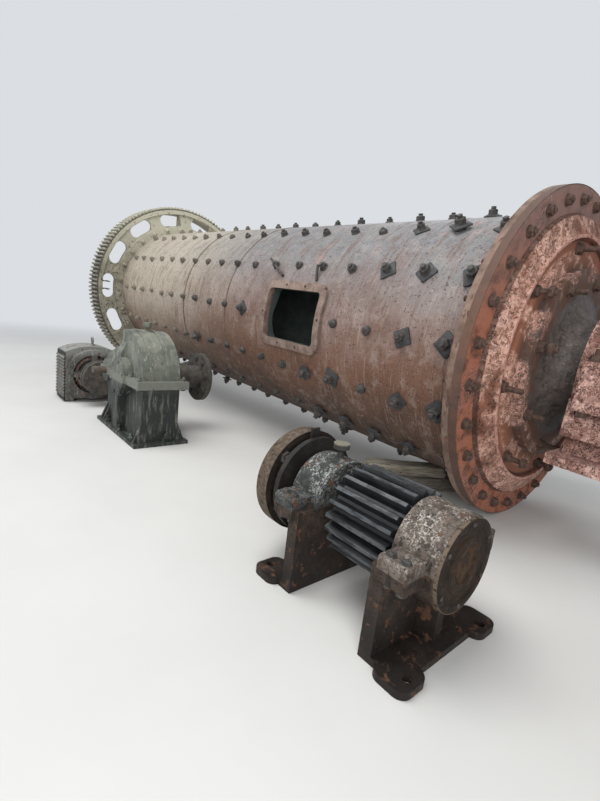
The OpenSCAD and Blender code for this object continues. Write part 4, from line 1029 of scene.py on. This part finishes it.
def timber(name, material, place, skew, size, draw):
    """A weathered timber: wavy faces, and ends broken off into splinters."""
    width, length, height = size
    piece = Piece(name, "mill", "timber", material)
    at = spun(Matrix.Translation(place), radians(-skew))
    across, upward, runs = 10, 4, 30
    outline = [(-width * i / across, 0.0) for i in range(across + 1)]
    outline += [(-width, height * i / upward) for i in range(1, upward)]
    outline += [(-width * i / across, height) for i in range(across, -1, -1)]
    outline += [(0.0, height * i / upward) for i in range(upward - 1, 0, -1)]
    ends = [[draw.uniform(0, 1) ** 2 * 0.055 for _ in outline] for _ in range(2)]
    sway = [draw.uniform(-1, 1) for _ in outline]
    rings = []
    for k in range(runs + 1):
        t = k / runs
        ring = []
        for i, (x, z) in enumerate(outline):
            inward = 0.0022 * (1 + sway[i] * sin(9 * t + 5 * sway[i])) + draw.uniform(0, 0.0012)
            px = x - inward if x > -width / 2 else x + inward
            pz = z if z == 0 else z - inward
            y = -length * t + (ends[1][i] if k == runs else 0) - (ends[0][i] if k == 0 else 0)
            ring.append(YARD @ at @ Vector((px, y, pz)))
        rings.append(ring)
    piece.rings(rings)
    for y, away in ((-0.03, 1), (0.03 - length, -1)):
        splinters(piece, at, y, away, width, height, draw)
    return piece.done(28)


def splinters(piece, at, y, away, width, height, draw):
    """Thin wedges that stand out of a timber's broken end."""
    count = 14
    for k in range(count):
        x = -width * (0.06 + 0.88 * k / (count - 1)) + draw.uniform(-0.004, 0.004)
        z = height * draw.uniform(0.15, 0.9)
        reach = draw.uniform(0.012, 0.03)
        half = draw.uniform(0.003, 0.007)
        shape = [(half, half * 0.5), (-half, half * 0.6), (-half * 0.8, -half * 0.6), (half, -half * 0.4)]
        layers = [(1.0, y), (0.9, y + away * 0.02), (0.15, y + away * (0.03 + reach) * 0.98)]
        piece.rings([[YARD @ at @ Vector((x + share * sx, py, z + share * sz)) for sx, sz in shape]
                     for share, py in layers])


def timbers(draw):
    low = timber("lower_timber", LOW_WOOD, (5.25, 0.02, 0), 26, (0.19, 0.64, 0.1), draw)
    top = timber("upper_timber", TOP_WOOD, (5.148, -0.153, 0.1003), 34, (0.13, 0.61, 0.0794), draw)
    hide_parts("chock_timbers")
    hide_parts("chock_timbers")


def linked(name, data):
    """A new object in the scene."""
    obj = bpy.data.objects.new(name, data)
    bpy.context.scene.collection.objects.link(obj)
    return obj


def camera():
    """The photo's camera, fitted to the drum: its focal length is in the photo's pixels."""
    focal_px, photo_height_px = 431.28, 801
    data = bpy.data.cameras.new("camera")
    data.sensor_width = 36
    data.lens = focal_px / photo_height_px * data.sensor_width
    data.clip_end = 60
    right = Vector((0.64034, 0.75904, 0.11757))
    up = Vector((-0.21940, 0.03407, 0.97504))
    back = Vector((0.73609, -0.65015, 0.18835))
    turn = Matrix((right, up, back)).transposed().to_4x4()
    obj = linked("camera", data)
    obj.matrix_world = Matrix.Translation((3.9655, -2.7393, 1.1717)) @ turn
    bpy.context.scene.camera = obj


def area_light(name, place, aim, size, watts, tint):
    data = bpy.data.lights.new(name, "AREA")
    data.size = size
    data.energy = watts
    data.color = tint
    obj = linked(name, data)
    obj.location = place
    obj.rotation_euler = (Vector(aim) - Vector(place)).to_track_quat("-Z", "Y").to_euler()


def seen_by_eye(tree):
    """1 for rays from the camera and for those that show in gloss or through glass."""
    rays = tree.nodes.new("ShaderNodeLightPath").outputs
    seen = rays["Is Camera Ray"]
    for name in ("Is Glossy Ray", "Is Transmission Ray"):
        most = tree.nodes.new("ShaderNodeMath")
        most.operation = "MAXIMUM"
        tree.links.new(seen, most.inputs[0])
        tree.links.new(rays[name], most.inputs[1])
        seen = most.outputs[0]
    return seen


def fade_out(look):
    """The floor runs into the backdrop's tone well away from the machine."""
    tree = look.material.node_tree
    away = look.fed("ShaderNodeVectorMath", look.point, operation="LENGTH")
    far = look.step(away.outputs["Value"], 4.5, 13.0)
    glow = tree.nodes.new("ShaderNodeEmission")
    glow.inputs["Color"].default_value = BACKDROP
    glow.inputs["Strength"].default_value = 1.0
    shares = (look.where(far, seen_by_eye(tree)), look.shader.outputs[0], glow.outputs[0])
    blend = look.fed("ShaderNodeMixShader", *shares)
    tree.links.new(blend.outputs[0], tree.nodes["Material Output"].inputs["Surface"])


def floor():
    bpy.ops.mesh.primitive_plane_add(size=60, location=(0, 0, -0.001))
    plane = bpy.context.object
    plane.name = "floor"
    look = Finish("pale_floor")
    look.ground((205, 205, 203), (208, 208, 206), 0.6, 0.9)
    plane.data.materials.append(look.done())
    fade_out(look)


def studio():
    """A pale backdrop that lights the object more weakly than it shows, and five soft lamps."""
    world = bpy.data.worlds.new("world")
    bpy.context.scene.world = world
    world.use_nodes = True
    tree = world.node_tree
    background = tree.nodes["Background"]
    background.inputs["Color"].default_value = BACKDROP
    strength = tree.nodes.new("ShaderNodeMapRange")
    strength.inputs["To Min"].default_value = 0.48
    strength.inputs["To Max"].default_value = 1.0
    tree.links.new(seen_by_eye(tree), strength.inputs["Value"])
    tree.links.new(strength.outputs[0], background.inputs["Strength"])
    area_light("key", (0.5, -3.0, 7.5), (0.3, 0, 0.8), 5, 450, (1, 0.99, 0.97))
    area_light("side", (6.5, -6.0, 4.0), (0.5, 0, 0.8), 5, 200, (1, 0.98, 0.95))
    area_light("fill", (-5, -6, 5), (-1, 0, 0.8), 6, 200, (0.93, 0.96, 1))
    area_light("front", (6.0, -4.6, 1.7), (1.2, -0.5, 1.2), 2, 80, (1, 1, 1))
    area_light("back", (-1.5, 6.5, 5.5), (0, 0, 0.8), 6, 330, (0.96, 0.98, 1))


def main():
    draw = random.Random(7)
    camera()
    floor()
    studio()
    dress_nodes()
    liner_bolts(draw)
    head_bolts(DRUM, "discharge_head_bolts", RUST_BOLT, 0.99, -8.2, SHELL_LEN - FLANGE_T, HEAD_FACE, draw)
    head_bolts(FEED, "feed_head_bolts", GEAR, 0.967, 6, -WEB_T - FLANGE_T, HEAD_FACE - SHELL_LEN, draw)
    end_studs(DRUM, "discharge_studs", 0.0, draw)
    end_studs(FEED, "feed_studs", SHELL_LEN, draw)
    weld_beads(draw)
    manhole_rods()
    gear_bolts(draw)
    bearing_bolts(DRUM, "discharge_bearing", "discharge_bearing_bolts", 0.0)
    bearing_bolts(FEED, "feed_bearing", "feed_bearing_bolts", SHELL_LEN)
    stand_bolts(draw)
    coupling_bolts(draw)
    reducer_bolts(draw)
    motor_louvres(draw)
    motor_eye()
    motor_windings()
    motor_bolts(draw)
    output_bolts(draw)
    timbers(draw)
    bpy.context.scene.view_settings.view_transform = "Standard"


main()
